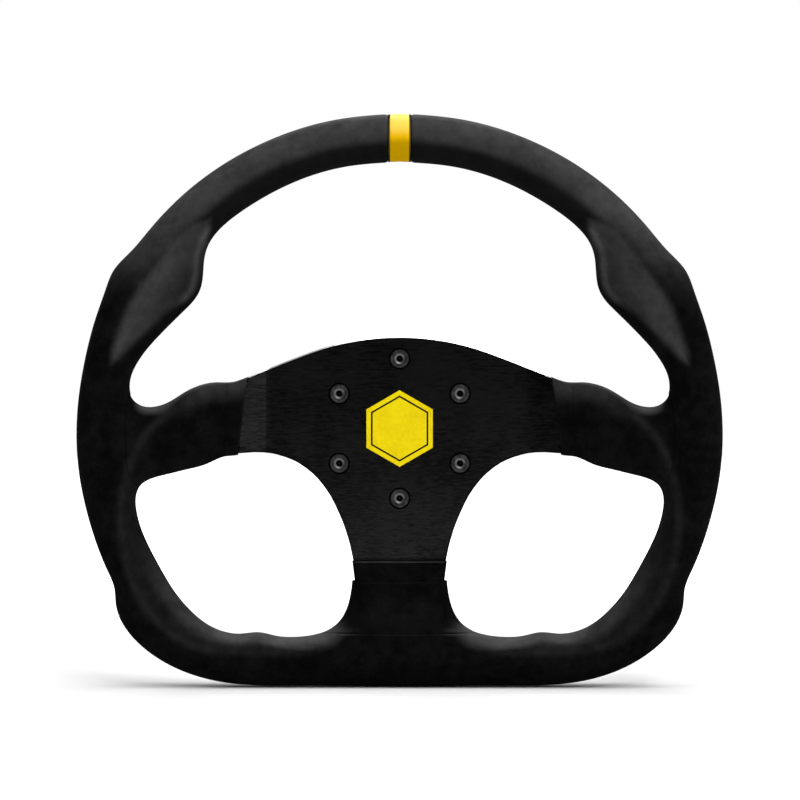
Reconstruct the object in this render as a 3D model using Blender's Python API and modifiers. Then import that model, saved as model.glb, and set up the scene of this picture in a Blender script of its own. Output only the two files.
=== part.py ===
"""A flat-bottomed, three-spoke motorsport steering wheel on the wheel's half of a quick release hub.

The wheel is built lying on its back: X to the right, Y up the wheel and Z from the hub towards the driver.
Everything is parented to one empty, which stands the wheel up, so that it faces -Y with +Z up. The origin is
on the steering axis, at the rear face of the splined socket, where the wheel seats on the column.
"""

import math
from collections import namedtuple

import bmesh
import bpy
from mathutils import Matrix, Vector

MM = 0.001
GAP = 0.3 * MM  # between pieces that touch

# Rim: the top is two concentric arcs, and the rest follows pairs of points, outer edge and inner edge.
RIM_ARC_CENTRE_Y = -7.0 * MM
RIM_ARC_OUTER_RADIUS = 163.2 * MM
RIM_ARC_INNER_RADIUS = 139.2 * MM
RIM_ARC_ANGLES = (0, 10, 20, 30, 38)
RIM_PAIRS_MM = (
    ((113.3, 110.5), (92.6, 94.6)),  # the arc runs into the thumb rest
    ((124.0, 99.0), (96.2, 87.0)),
    ((132.8, 88.2), (97.2, 79.5)),  # the notch above the thumb rest's shoulder
    ((140.4, 80.2), (98.0, 72.6)),
    ((145.5, 69.4), (101.9, 63.7)),
    ((150.7, 54.3), (112.1, 53.3)),
    ((154.9, 38.6), (123.7, 41.2)),
    ((158.1, 22.0), (132.8, 28.2)),
    ((159.8, 6.0), (134.2, 12.0)),  # side spoke
    ((160.0, -9.0), (134.2, -9.0)),
    ((158.0, -27.0), (131.8, -27.0)),
    ((153.1, -48.0), (129.3, -45.8)),
    ((147.1, -64.6), (122.4, -62.0)),
    ((141.6, -78.5), (114.2, -76.2)),
    ((140.0, -90.0), (107.4, -85.6)),  # lower corner
    ((132.8, -102.4), (100.3, -92.9)),
    ((118.6, -114.5), (91.4, -98.8)),
    ((99.0, -123.0), (81.0, -101.6)),
    ((84.0, -125.4), (71.0, -100.7)),
    ((60.0, -126.4), (57.0, -103.2)),
    ((30.0, -127.0), (30.0, -102.4)),  # bottom spoke
)
RIM_BOTTOM_Y = -127.2 * MM
RIM_BOTTOM_INNER_Y = -102.0 * MM
RIM_HALF_DEPTH = 14.0 * MM
RIM_SIDES = 10
RIM_ROUNDNESS = 2.2  # exponent of the section's superellipse

# Spoke covers: pairs of edge points from the free end into the rim, and half the cover's thickness.
SIDE_COVER_MM = (
    ((76.4, 25.9), (81.5, -12.8), 3.9),
    ((86.5, 23.7), (89.5, -14.1), 4.5),
    ((97.3, 22.6), (99.3, -18.4), 7.2),
    ((106.5, 18.6), (107.5, -20.8), 9.8),
    ((116.0, 12.6), (117.5, -23.3), 11.9),
    ((125.0, 11.0), (126.5, -26.8), 13.0),
    ((137.0, 20.0), (137.0, -33.0), 13.2),
    ((147.0, 18.0), (147.0, -28.0), 11.0),
)
BOTTOM_COVER_MM = (
    ((-24.0, -66.8), (24.0, -66.8), 3.9),
    ((-23.0, -76.5), (23.0, -76.5), 4.8),
    ((-25.4, -86.0), (25.4, -86.0), 8.0),
    ((-28.9, -94.7), (28.9, -94.7), 11.2),
    ((-36.5, -101.5), (36.5, -101.5), 13.0),
    ((-40.0, -108.0), (40.0, -108.0), 12.8),
    ((-34.0, -115.0), (34.0, -115.0), 11.0),
)
COVER_END_ROUNDNESS = 8.0
HEM_BAND = 10.0 * MM

SUEDE = 1.2 * MM
MARKER_HALF_WIDTH = 5.5 * MM
MARKER_RECESS = 0.5 * MM

# How the suede is cut into panels. A side cover is taller up to the step than beyond it, beside the rim.
DEPTH_LOW, DEPTH_HIGH = 30.0 * MM, 100.0 * MM
SIDE_SEAM_X = 133.0 * MM
SIDE_PANEL_STEP_X = 122.0 * MM
SIDE_PANEL_LOW_Y = -31.0 * MM
SIDE_PANEL_HIGH_Y = 18.5 * MM
SIDE_PANEL_TALL_Y = 28.5 * MM
SIDE_PANEL_START_X = 60.0 * MM
SIDE_PANEL_PARTS = (("low", SIDE_SEAM_X, SIDE_PANEL_HIGH_Y), ("tall", SIDE_PANEL_STEP_X, SIDE_PANEL_TALL_Y))
SIDE_BAND_END_X = 86.3 * MM
BOTTOM_SEAM_Y = -100.6 * MM
BOTTOM_PANEL_START_Y = -60.0 * MM
BOTTOM_PANEL_HALF_WIDTH = 40.0 * MM
BOTTOM_BAND_END_Y = -66.0 * MM - HEM_BAND
MARKER_LOW_Y, MARKER_HIGH_Y = 110.0 * MM, 180.0 * MM
SLEEVE_OVERRUN = 5.0 * MM  # how far the hollow of a cover runs out of its free end

# Spoke plate. An arm narrows where its cover starts, and its covered end is a straight strip.
PLATE = 4.0 * MM
PLATE_CHAMFER = 0.6 * MM
PLATE_TOP_Y = 46.2 * MM
PLATE_TOP_RADIUS = 132.0 * MM
PLATE_TOP_ARC_X = 49.0 * MM
PLATE_TOP_POINTS = (0.0, 0.33, 0.67, 1.0)  # shares of the arc's half width
PLATE_BEND_X = 64.5 * MM
PLATE_BEND_Y = -67.5 * MM
BEND_HALF_LENGTH = 2.5 * MM
BEND_CUTS = (-1, -0.33, 0.33, 1)  # creases across a bend, in half lengths from its middle
DISH = 20.0 * MM  # from the plate's middle to the rim's
SIDE_ARM_TOP_MM = (76.0, 25.9)
SIDE_ARM_FOOT_MM = (81.0, -12.4)
SIDE_ARM_STEP_MM = 2.8
SIDE_ARM_STEP_LEAN_MM = 0.4
SIDE_ARM_NECK_X_MM = 84.5
SIDE_ARM_END_X = 124.0 * MM
SIDE_ARM_MIDDLE_Y = -2.5 * MM
SIDE_ARM_HALF_WIDTH = 9.0 * MM
WINDOW_CURVE_MM = ((68.0, -12.0), (57.5, -14.3), (47.5, -19.4), (37.5, -29.5), (30.4, -42.5), (25.6, -55.8))
BOTTOM_ARM_TOP_MM = (23.2, -66.4)
BOTTOM_ARM_STEP_DROP_MM = 0.5
BOTTOM_ARM_NECK_MM = 6.0
BOTTOM_ARM_END_Y = -98.0 * MM
BOTTOM_ARM_HALF_WIDTH = 18.0 * MM
ARM_END_ROOM = 1.3 * MM

# Screws, M5 countersunk with a 3 mm hexagon socket
BOLT_CIRCLE = 70.0 * MM
SCREW_COUNT = 6
SCREW_RADIUS = 2.4 * MM
SCREW_HEAD_RADIUS = 4.9 * MM
SCREW_HEAD_RIM = 0.4 * MM
SCREW_LENGTH = 12.0 * MM
SCREW_SUNK = 0.2 * MM  # the head's top below the plate's face
SCREW_TIP = 0.5 * MM
HEX_SOCKET = 3.0 * MM
HEX_SOCKET_DEPTH = 2.0 * MM

# Armature
RING_RADIUS = 5.0 * MM
RING_FROM_EDGE = 13.0 * MM
LUG = 3.0 * MM
SIDE_LUG_START_X = 104.0 * MM
BOTTOM_LUG_START_Y = -84.0 * MM
BOTTOM_LUG_HALF_WIDTH = 15.0 * MM
RIVET_RADIUS = 2.3 * MM
RIVET_HEAD_RADIUS = 4.0 * MM
RIVET_HEAD = 1.1 * MM
RIVET_FROM_LUG_END = 6.0 * MM
RIVET_HEAD_FLAT = 0.6  # the head's flat top, as a share of its radius
RIVET_HEAD_RIM = 0.3  # the head's straight rim, as a share of its height
SIDE_RIVET_SPREAD = 4.6 * MM
BOTTOM_RIVET_SPREAD = 8.0 * MM
LUG_DRILL_REACH = 3 * PLATE
CORNER_GAP = 1.2 * GAP  # round a shape with few sides, so that its flats clear by GAP
LUG_TOP = -PLATE / 2 - GAP  # from the plate's middle
LUG_LOW = LUG_TOP - LUG

# Quick release, measured along the steering axis from the socket's rear face
FLANGE_RADIUS = 42.0 * MM
FLANGE_REAR = 34.0 * MM
FLANGE_FRONT = 42.0 * MM
HUB_HEX_RADIUS = 24.0 * MM
HUB_HEX = 3.5 * MM
HUB_CHAMFER = 1.0 * MM
SOCKET_CHAMFER = 0.8 * MM
SOCKET_RADIUS = 16.0 * MM
SPLINE_TEETH = 18
SPLINE_MINOR_RADIUS = 11.0 * MM
SPLINE_MAJOR_RADIUS = 12.2 * MM
SPLINE_TOOTH_END = 0.32  # shares of one tooth's pitch: the tooth's top, then the root between its flanks
SPLINE_ROOT_START = 0.5
SPLINE_ROOT_END = 0.82
BALL_COUNT = 6
BALL_RADIUS = 3.175 * MM
BALL_HOLE_RADIUS = 3.5 * MM
BALL_PLANE = 10.0 * MM
BALL_SEAT_RADIUS = 12.85 * MM
RING_GROOVE_RADIUS = 14.9 * MM
RING_GROOVE_START = 2.3 * MM
RING_GROOVE_END = 4.5 * MM
CIRCLIP_RADIUS = 19.0 * MM
CIRCLIP_SLOT = 9.0 * MM
COLLAR_REAR = 4.8 * MM
COLLAR_FRONT = 27.0 * MM
COLLAR_RADIUS = 24.5 * MM
COLLAR_LIP_RADIUS = 29.0 * MM
COLLAR_LIP = 5.0 * MM
COLLAR_LAND_RADIUS = 16.3 * MM
COLLAR_LAND_END = 14.0 * MM
COLLAR_POCKET_RADIUS = 21.6 * MM
COLLAR_RAMP = 0.25  # the balls move out this much for each unit that the collar moves
SPRING_RADIUS = 18.9 * MM
SPRING_WIRE_RADIUS = 1.1 * MM
SPRING_TURNS = 5
SPRING_POINTS_PER_TURN = 12

PLATE_REAR = FLANGE_FRONT + GAP
PLATE_MIDDLE = PLATE_REAR + PLATE / 2
PLATE_FRONT = PLATE_REAR + PLATE
SCREW_TOP = PLATE_FRONT - SCREW_SUNK
HEAD_EDGE = SCREW_TOP - SCREW_HEAD_RIM
RIM_MIDDLE = PLATE_MIDDLE + DISH
RING_SIDE_X = 147.0 * MM
RING_BOTTOM_Y = RIM_BOTTOM_Y + RING_FROM_EDGE
SIDE_ARM_SLOPE = DISH / (RING_SIDE_X - PLATE_BEND_X)
BOTTOM_ARM_SLOPE = DISH / (PLATE_BEND_Y - RING_BOTTOM_Y)

# Sub-part finishes: colour, roughness, metallic
FINISHES = {
    "anodised_plate": ((0.012, 0.012, 0.013, 1), 0.42, 0.9),
    "suede": ((0.016, 0.016, 0.017, 1), 0.95, 0.0),
    "marker_suede": ((0.86, 0.56, 0.01, 1), 0.85, 0.0),
    "foam": ((0.05, 0.05, 0.05, 1), 0.9, 0.0),
    "bare_aluminium": ((0.62, 0.63, 0.64, 1), 0.35, 1.0),
    "screw_steel": ((0.05, 0.05, 0.055, 1), 0.4, 0.9),
    "hub_anodised": ((0.03, 0.03, 0.032, 1), 0.35, 0.9),
    "collar_anodised": ((0.55, 0.56, 0.58, 1), 0.3, 0.9),
    "steel": ((0.55, 0.55, 0.56, 1), 0.28, 1.0),
    "spring_steel": ((0.3, 0.3, 0.31, 1), 0.35, 1.0),
}


# --- Scene and helpers ---------------------------------------------------------------------------------------


def clear_scene():
    for obj in list(bpy.data.objects):
        bpy.data.objects.remove(obj, do_unlink=True)


def new_collection(name):
    collection = bpy.data.collections.new(name)
    bpy.context.scene.collection.children.link(collection)
    return collection


def make_material(name):
    colour, roughness, metallic = FINISHES[name]
    material = bpy.data.materials.new(name)
    material.use_nodes = True
    shader = material.node_tree.nodes["Principled BSDF"]
    shader.inputs["Base Color"].default_value = colour
    shader.inputs["Roughness"].default_value = roughness
    shader.inputs["Metallic"].default_value = metallic
    material.diffuse_color = colour
    return material


clear_scene()
WHEEL = new_collection("quick_release_steering_wheel")
CUTTERS = new_collection("cutters")
MATERIALS = {name: make_material(name) for name in FINISHES}

stand = bpy.data.objects.new("wheel_stand", None)
stand.rotation_euler = (math.radians(90), 0, 0)
WHEEL.objects.link(stand)


def add_object(name, data, finish=None):
    """An object in the wheel's collection, or a cutter if it has no finish."""
    obj = bpy.data.objects.new(name, data)
    obj.parent = stand
    if finish:
        data.materials.append(MATERIALS[finish])
        WHEEL.objects.link(obj)
    else:
        obj.hide_render = True
        obj.display_type = "WIRE"
        CUTTERS.objects.link(obj)
    return obj


def mesh_object(name, bm, finish=None):
    bm.normal_update()
    bmesh.ops.recalc_face_normals(bm, faces=bm.faces)
    mesh = bpy.data.meshes.new(name)
    bm.to_mesh(mesh)
    bm.free()
    return add_object(name, mesh, finish)


def box(name, low, high, finish=None):
    """A box between two corners in the wheel's lying frame."""
    bm = bmesh.new()
    bmesh.ops.create_cube(bm, size=1)
    low, high = Vector(low), Vector(high)
    size = Matrix.Diagonal((*(high - low), 1))
    bm.transform(Matrix.Translation((low + high) / 2) @ size)
    return mesh_object(name, bm, finish)


def cylinder(name, radius, start, end, sides=24, finish=None, place=Matrix.Identity(4), top_radius=None):
    """A cylinder or cone along Z from start to end, then moved by the matrix place."""
    bm = bmesh.new()
    bmesh.ops.create_cone(
        bm, cap_ends=True, segments=sides, radius1=radius, radius2=top_radius or radius, depth=end - start
    )
    bm.transform(place @ Matrix.Translation((0, 0, (start + end) / 2)))
    return mesh_object(name, bm, finish)


def turned(name, profile, finish=None, steps=36):
    """A turned piece about Z. The closed profile of (radius, z) points runs down the outer side first."""
    mesh = bpy.data.meshes.new(name)
    points = [(radius, 0, z) for radius, z in profile]
    edges = [(i, (i + 1) % len(points)) for i in range(len(points))]
    edges = [(i, j) for i, j in edges if points[i][0] or points[j][0]]
    mesh.from_pydata(points, edges, [])
    obj = add_object(name, mesh, finish)
    screw = obj.modifiers.new("turn", "SCREW")
    screw.steps = steps
    screw.render_steps = steps
    screw.use_merge_vertices = True
    screw.merge_threshold = 0.000001
    return obj


def boolean(obj, operation, other):
    modifier = obj.modifiers.new(other.name, "BOOLEAN")
    modifier.operation = operation
    modifier.object = other
    modifier.solver = "EXACT"
    return modifier


def baked_copy(name, source, finish=None):
    """A mesh object holding what source looks like after its modifiers."""
    bpy.context.view_layer.update()
    graph = bpy.context.evaluated_depsgraph_get()
    mesh = bpy.data.meshes.new_from_object(source.evaluated_get(graph))
    mesh.materials.clear()
    return add_object(name, mesh, finish)


def baked(obj):
    """Applies the object's modifiers."""
    bpy.context.view_layer.update()
    graph = bpy.context.evaluated_depsgraph_get()
    obj.data = bpy.data.meshes.new_from_object(obj.evaluated_get(graph))
    obj.modifiers.clear()
    return obj


def shade_smooth(obj, angle=35):
    obj.data.shade_smooth()
    obj.data.set_sharp_from_angle(angle=math.radians(angle))


# --- Grip: lofts along pairs of edge points --------------------------------------------------------------------


def power(value, exponent):
    return math.copysign(abs(value) ** exponent, value)


def section(first, second, height, half_depth, roundness, sides, offset):
    """A superellipse between two edge points, shrunk by offset and centred on the surface height(point)."""
    centre = (first + second) / 2
    across = (first - second).normalized()
    half_width = (first - second).length / 2 - offset
    points = []
    for i in range(sides):
        angle = math.tau * i / sides
        place = centre + across * power(math.cos(angle), 2 / roundness) * half_width
        up = power(math.sin(angle), 2 / roundness) * (half_depth - offset)
        points.append(Vector((place.x, place.y, height(place) + up)))
    return points


def loft(name, sections, closed):
    """A tube through rings of points, joined end to end or capped, all cut along the same diagonals."""
    bm = bmesh.new()
    rings = [[bm.verts.new(point) for point in ring] for ring in sections]
    following = rings[1:] + rings[:1] if closed else rings[1:]
    for ring, after in zip(rings, following):
        for i in range(len(ring)):
            j = (i + 1) % len(ring)
            bm.faces.new((ring[i], ring[j], after[j]))
            bm.faces.new((ring[i], after[j], after[i]))
    if not closed:
        bm.faces.new(rings[0])
        bm.faces.new(rings[-1])
    return mesh_object(name, bm)


def rim_pairs():
    """(outer, inner) edge points all the way round, clockwise from the top."""
    half = []
    for angle in map(math.radians, RIM_ARC_ANGLES):
        direction = Vector((math.sin(angle), math.cos(angle)))
        centre = Vector((0, RIM_ARC_CENTRE_Y))
        half.append((centre + direction * RIM_ARC_OUTER_RADIUS, centre + direction * RIM_ARC_INNER_RADIUS))
    half += [(Vector(outer) * MM, Vector(inner) * MM) for outer, inner in RIM_PAIRS_MM]
    bottom = (Vector((0, RIM_BOTTOM_Y)), Vector((0, RIM_BOTTOM_INNER_Y)))
    mirrored = [tuple(Vector((-p.x, p.y)) for p in pair) for pair in reversed(half[1:])]
    return [*half, bottom, *mirrored]


def rim_height(_):
    return RIM_MIDDLE


def rim_loft(name, offset):
    rings = [
        section(outer, inner, rim_height, RIM_HALF_DEPTH, RIM_ROUNDNESS, RIM_SIDES, offset)
        for outer, inner in rim_pairs()
    ]
    return loft(name, rings, closed=True)


def cover_loft(name, pairs, arm_height, offset, lengthen, skip=0):
    """A spoke cover. lengthen moves its free end out, and skip leaves out its first sections."""
    rings = []
    last = len(pairs) - 1
    for i, (first, second, half_depth) in enumerate(pairs):
        first, second = Vector(first) * MM, Vector(second) * MM
        roundness = COVER_END_ROUNDNESS + (RIM_ROUNDNESS - COVER_END_ROUNDNESS) * min(1, i / (last - 2))
        rings.append(section(first, second, arm_height, half_depth * MM, roundness, RIM_SIDES, offset))
    if lengthen:
        step = sum(rings[0], Vector()) - sum(rings[1], Vector())
        beyond = step.normalized() * lengthen
        rings[0] = [point + beyond for point in rings[0]]
    return loft(name, rings[skip:], closed=False)


def side_arm_height(point):
    return PLATE_MIDDLE + max(0, abs(point.x) - PLATE_BEND_X) * SIDE_ARM_SLOPE


def bottom_arm_height(point):
    return PLATE_MIDDLE + max(0, PLATE_BEND_Y - point.y) * BOTTOM_ARM_SLOPE


def mirrored_pairs(pairs):
    return tuple(((-a[0], a[1]), (-b[0], b[1]), depth) for a, b, depth in pairs)


def grip_shape(name, offset, lengthen=0.0, skip=0):
    """The whole grip as one closed body: the rim and its three spoke covers."""
    rim = rim_loft(f"{name}_rim", offset)
    arms = (
        cover_loft(f"{name}_right", SIDE_COVER_MM, side_arm_height, offset, lengthen, skip),
        cover_loft(f"{name}_left", mirrored_pairs(SIDE_COVER_MM), side_arm_height, offset, lengthen, skip),
        cover_loft(f"{name}_bottom", BOTTOM_COVER_MM, bottom_arm_height, offset, lengthen, skip),
    )
    for arm in arms:
        boolean(rim, "UNION", arm)
    return baked(rim)


def side_box(name, sign, start, end, top_y, grow):
    """A box on the right or, with sign -1, on the left, from start to end outwards."""
    xs = sorted((sign * (start - grow), sign * (end + grow)))
    return box(name, (xs[0], SIDE_PANEL_LOW_Y - grow, DEPTH_LOW), (xs[1], top_y + grow, DEPTH_HIGH))


def bottom_box(name, start, end, grow):
    wide = BOTTOM_PANEL_HALF_WIDTH + grow
    return box(name, (-wide, end - grow, DEPTH_LOW), (wide, start + grow, DEPTH_HIGH))


def marker_box(name, grow):
    wide = MARKER_HALF_WIDTH + grow
    return box(name, (-wide, MARKER_LOW_Y, DEPTH_LOW), (wide, MARKER_HIGH_Y, DEPTH_HIGH))


def suede_panels():
    """The suede as it is cut and sewn: one rim panel, three spoke covers, three hem bands and the marker."""
    outside = grip_shape("suede_outside", 0.0)
    inside = grip_shape("suede_inside", SUEDE, lengthen=SLEEVE_OVERRUN)
    boolean(outside, "DIFFERENCE", inside)
    shell = baked(outside)

    rim = baked_copy("rim_suede", shell, "suede")
    boolean(rim, "DIFFERENCE", marker_box("marker_slot", GAP))
    for side, sign in (("right", 1), ("left", -1)):
        for piece, end, top_y in SIDE_PANEL_PARTS:
            slot = side_box(f"{side}_{piece}_slot", sign, SIDE_PANEL_START_X, end, top_y, GAP)
            boolean(rim, "DIFFERENCE", slot)
    boolean(rim, "DIFFERENCE", bottom_box("bottom_slot", BOTTOM_PANEL_START_Y, BOTTOM_SEAM_Y, GAP))

    for side, sign in (("right", 1), ("left", -1)):
        cover = baked_copy(f"{side}_spoke_suede", shell, "suede")
        start = SIDE_BAND_END_X + GAP
        low, tall = (
            side_box(f"{side}_{piece}_panel", sign, start, end, top_y, 0) for piece, end, top_y in SIDE_PANEL_PARTS
        )
        boolean(cover, "INTERSECT", joined(low, tall))
        band = baked_copy(f"{side}_spoke_band", shell, "suede")
        hem = side_box(f"{side}_band_box", sign, SIDE_PANEL_START_X, SIDE_BAND_END_X, SIDE_PANEL_TALL_Y, 0)
        boolean(band, "INTERSECT", hem)
    cover = baked_copy("bottom_spoke_suede", shell, "suede")
    boolean(cover, "INTERSECT", bottom_box("bottom_panel", BOTTOM_BAND_END_Y - GAP, BOTTOM_SEAM_Y, 0))
    band = baked_copy("bottom_spoke_band", shell, "suede")
    boolean(band, "INTERSECT", bottom_box("bottom_band_box", BOTTOM_PANEL_START_Y, BOTTOM_BAND_END_Y, 0))

    marker = rim_loft("top_marker_shape", MARKER_RECESS)
    marker = baked_copy("top_marker", marker, "marker_suede")
    boolean(marker, "DIFFERENCE", inside)
    boolean(marker, "INTERSECT", marker_box("marker_panel", 0))


def joined(first, second):
    boolean(first, "UNION", second)
    return baked(first)


# --- Armature, rivets and foam -----------------------------------------------------------------------------------

# frame holds the matrix of the bent arm's own frame: X along the arm from its bend, Z through its thickness.
# The rest are places along and across the arm in that frame.
Arm = namedtuple("Arm", "name frame length middle half_width lug_start lug_end lug_half_width rivet_spread")


def bent_frame(origin, along):
    x_axis = along.normalized()
    z_axis = (Vector((0, 0, 1)) - x_axis * x_axis.z).normalized()
    rotation = Matrix((x_axis, z_axis.cross(x_axis), z_axis)).transposed()
    return Matrix.Translation(origin) @ rotation.to_4x4()


def side_arm(name, sign):
    run = math.hypot(1, SIDE_ARM_SLOPE)
    frame = bent_frame(Vector((sign * PLATE_BEND_X, 0, PLATE_MIDDLE)), Vector((sign, 0, SIDE_ARM_SLOPE)))
    return Arm(
        name,
        frame,
        length=(SIDE_ARM_END_X - PLATE_BEND_X) * run,
        middle=sign * SIDE_ARM_MIDDLE_Y,
        half_width=SIDE_ARM_HALF_WIDTH,
        lug_start=(SIDE_LUG_START_X - PLATE_BEND_X) * run,
        lug_end=(RING_SIDE_X - PLATE_BEND_X) * run,
        lug_half_width=SIDE_ARM_HALF_WIDTH,
        rivet_spread=SIDE_RIVET_SPREAD,
    )


def bottom_arm():
    run = math.hypot(1, BOTTOM_ARM_SLOPE)
    frame = bent_frame(Vector((0, PLATE_BEND_Y, PLATE_MIDDLE)), Vector((0, -1, BOTTOM_ARM_SLOPE)))
    return Arm(
        "bottom",
        frame,
        length=(PLATE_BEND_Y - BOTTOM_ARM_END_Y) * run,
        middle=0.0,
        half_width=BOTTOM_ARM_HALF_WIDTH,
        lug_start=(PLATE_BEND_Y - BOTTOM_LUG_START_Y) * run,
        lug_end=(PLATE_BEND_Y - RING_BOTTOM_Y) * run,
        lug_half_width=BOTTOM_LUG_HALF_WIDTH,
        rivet_spread=BOTTOM_RIVET_SPREAD,
    )


ARMS = (side_arm("right", 1), side_arm("left", -1), bottom_arm())


def rivet_places():
    """(name, matrix) of each rivet, with Z through the plate and the lug."""
    places = []
    for arm in ARMS:
        along = arm.lug_start + RIVET_FROM_LUG_END
        for number, side in enumerate((-1, 1), start=1):
            shift = Vector((along, arm.middle + side * arm.rivet_spread, 0))
            places.append((f"{arm.name}_rivet_{number}", arm.frame @ Matrix.Translation(shift)))
    return places


def placed_box(name, frame, low, high):
    obj = box(name, low, high)
    obj.data.transform(frame)
    return obj


def ring_loft(name, grow):
    """The armature's bar, or the channel round it in the foam."""
    rings = []
    for outer, inner in rim_pairs():
        inward = (inner - outer).normalized()
        centre = outer + inward * RING_FROM_EDGE
        first, second = centre - inward * RING_RADIUS, centre + inward * RING_RADIUS
        rings.append(section(first, second, rim_height, RING_RADIUS, 2.0, 8, -grow))
    return loft(name, rings, closed=True)


def lug_box(name, arm, grow):
    low = (arm.lug_start - grow, arm.middle - arm.lug_half_width - grow, LUG_LOW - grow)
    high = (arm.lug_end, arm.middle + arm.lug_half_width + grow, LUG_TOP + grow)
    return placed_box(name, arm.frame, low, high)


def rim_armature():
    """A bar bent to the D, with a lug welded on behind each arm of the plate."""
    ring = ring_loft("armature_ring", 0.0)
    for arm in ARMS:
        boolean(ring, "UNION", lug_box(f"{arm.name}_lug", arm, 0.0))
    armature = baked_copy("rim_armature", ring, "bare_aluminium")
    for name, place in rivet_places():
        hole = cylinder(f"{name}_lug_hole", RIVET_RADIUS + GAP, -LUG_DRILL_REACH, LUG_DRILL_REACH, 12, place=place)
        boolean(armature, "DIFFERENCE", hole)


def rivets():
    """Aluminium rivets with a head at each end."""
    rear = LUG_LOW - GAP
    front = PLATE / 2 + GAP
    profile = (
        (0.0, front + RIVET_HEAD),
        (RIVET_HEAD_RADIUS * RIVET_HEAD_FLAT, front + RIVET_HEAD),
        (RIVET_HEAD_RADIUS, front + RIVET_HEAD * RIVET_HEAD_RIM),
        (RIVET_HEAD_RADIUS, front),
        (RIVET_RADIUS, front),
        (RIVET_RADIUS, rear),
        (RIVET_HEAD_RADIUS, rear),
        (RIVET_HEAD_RADIUS, rear - RIVET_HEAD * RIVET_HEAD_RIM),
        (RIVET_HEAD_RADIUS * RIVET_HEAD_FLAT, rear - RIVET_HEAD),
        (0.0, rear - RIVET_HEAD),
    )
    pattern = baked(turned("rivet_pattern", profile, steps=10))
    for name, place in rivet_places():
        rivet = baked_copy(name, pattern, "bare_aluminium")
        rivet.matrix_local = place
        shade_smooth(rivet)


def grip_core():
    """The foam: the grip inside the suede, less the armature, the plate's arms and the rivets."""
    core = grip_shape("foam_shape", SUEDE + GAP, skip=1)
    core = baked_copy("grip_core", core, "foam")
    boolean(core, "DIFFERENCE", ring_loft("ring_channel", CORNER_GAP))
    half_plate = PLATE / 2 + GAP
    for arm in ARMS:
        boolean(core, "DIFFERENCE", lug_box(f"{arm.name}_lug_pocket", arm, GAP))
        half_width = arm.half_width + GAP
        low = (0, arm.middle - half_width, -half_plate)
        high = (arm.length + ARM_END_ROOM, arm.middle + half_width, half_plate)
        boolean(core, "DIFFERENCE", placed_box(f"{arm.name}_arm_pocket", arm.frame, low, high))
    for name, place in rivet_places():
        low, high = LUG_LOW - 2 * GAP - RIVET_HEAD, half_plate + GAP + RIVET_HEAD
        pocket = cylinder(f"{name}_pocket", RIVET_HEAD_RADIUS + GAP, low, high, 12, place=place)
        boolean(core, "DIFFERENCE", pocket)


# --- Spoke plate and screws --------------------------------------------------------------------------------------


def plate_outline():
    """(x, y, smooth) of the plate's right half in millimetres, from the top to the foot of the bottom arm."""
    points = []
    for share in PLATE_TOP_POINTS:
        x = share * PLATE_TOP_ARC_X
        y = PLATE_TOP_Y - PLATE_TOP_RADIUS + math.sqrt(PLATE_TOP_RADIUS**2 - x**2)
        points.append((x / MM, y / MM, True))
    strip = SIDE_ARM_HALF_WIDTH / MM
    middle = SIDE_ARM_MIDDLE_Y / MM
    (top_x, top_y), (foot_x, foot_y) = SIDE_ARM_TOP_MM, SIDE_ARM_FOOT_MM
    end_x = SIDE_ARM_END_X / MM
    for x, y in (
        (top_x, top_y),
        (top_x + SIDE_ARM_STEP_LEAN_MM, top_y - SIDE_ARM_STEP_MM),
        (SIDE_ARM_NECK_X_MM, middle + strip),
        (end_x, middle + strip),
        (end_x, middle - strip),
        (SIDE_ARM_NECK_X_MM, middle - strip),
        (foot_x - SIDE_ARM_STEP_LEAN_MM, foot_y + SIDE_ARM_STEP_MM),
        (foot_x, foot_y),
    ):
        points.append((x, y, False))
    points += [(x, y, True) for x, y in WINDOW_CURVE_MM]
    edge_x, edge_y = BOTTOM_ARM_TOP_MM
    strip = BOTTOM_ARM_HALF_WIDTH / MM
    points += [
        (edge_x, edge_y, False),
        (edge_x - SIDE_ARM_STEP_MM, edge_y - BOTTOM_ARM_STEP_DROP_MM, False),
        (strip, edge_y - BOTTOM_ARM_NECK_MM, False),
        (strip, BOTTOM_ARM_END_Y / MM, False),
    ]
    return points


def bend_lift(distance, slope):
    """How far a point is lifted at this distance past a bend's middle: a parabola through the bend."""
    if distance <= -BEND_HALF_LENGTH:
        return 0.0
    if distance >= BEND_HALF_LENGTH:
        return distance * slope
    return (distance + BEND_HALF_LENGTH) ** 2 / (4 * BEND_HALF_LENGTH) * slope


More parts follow.
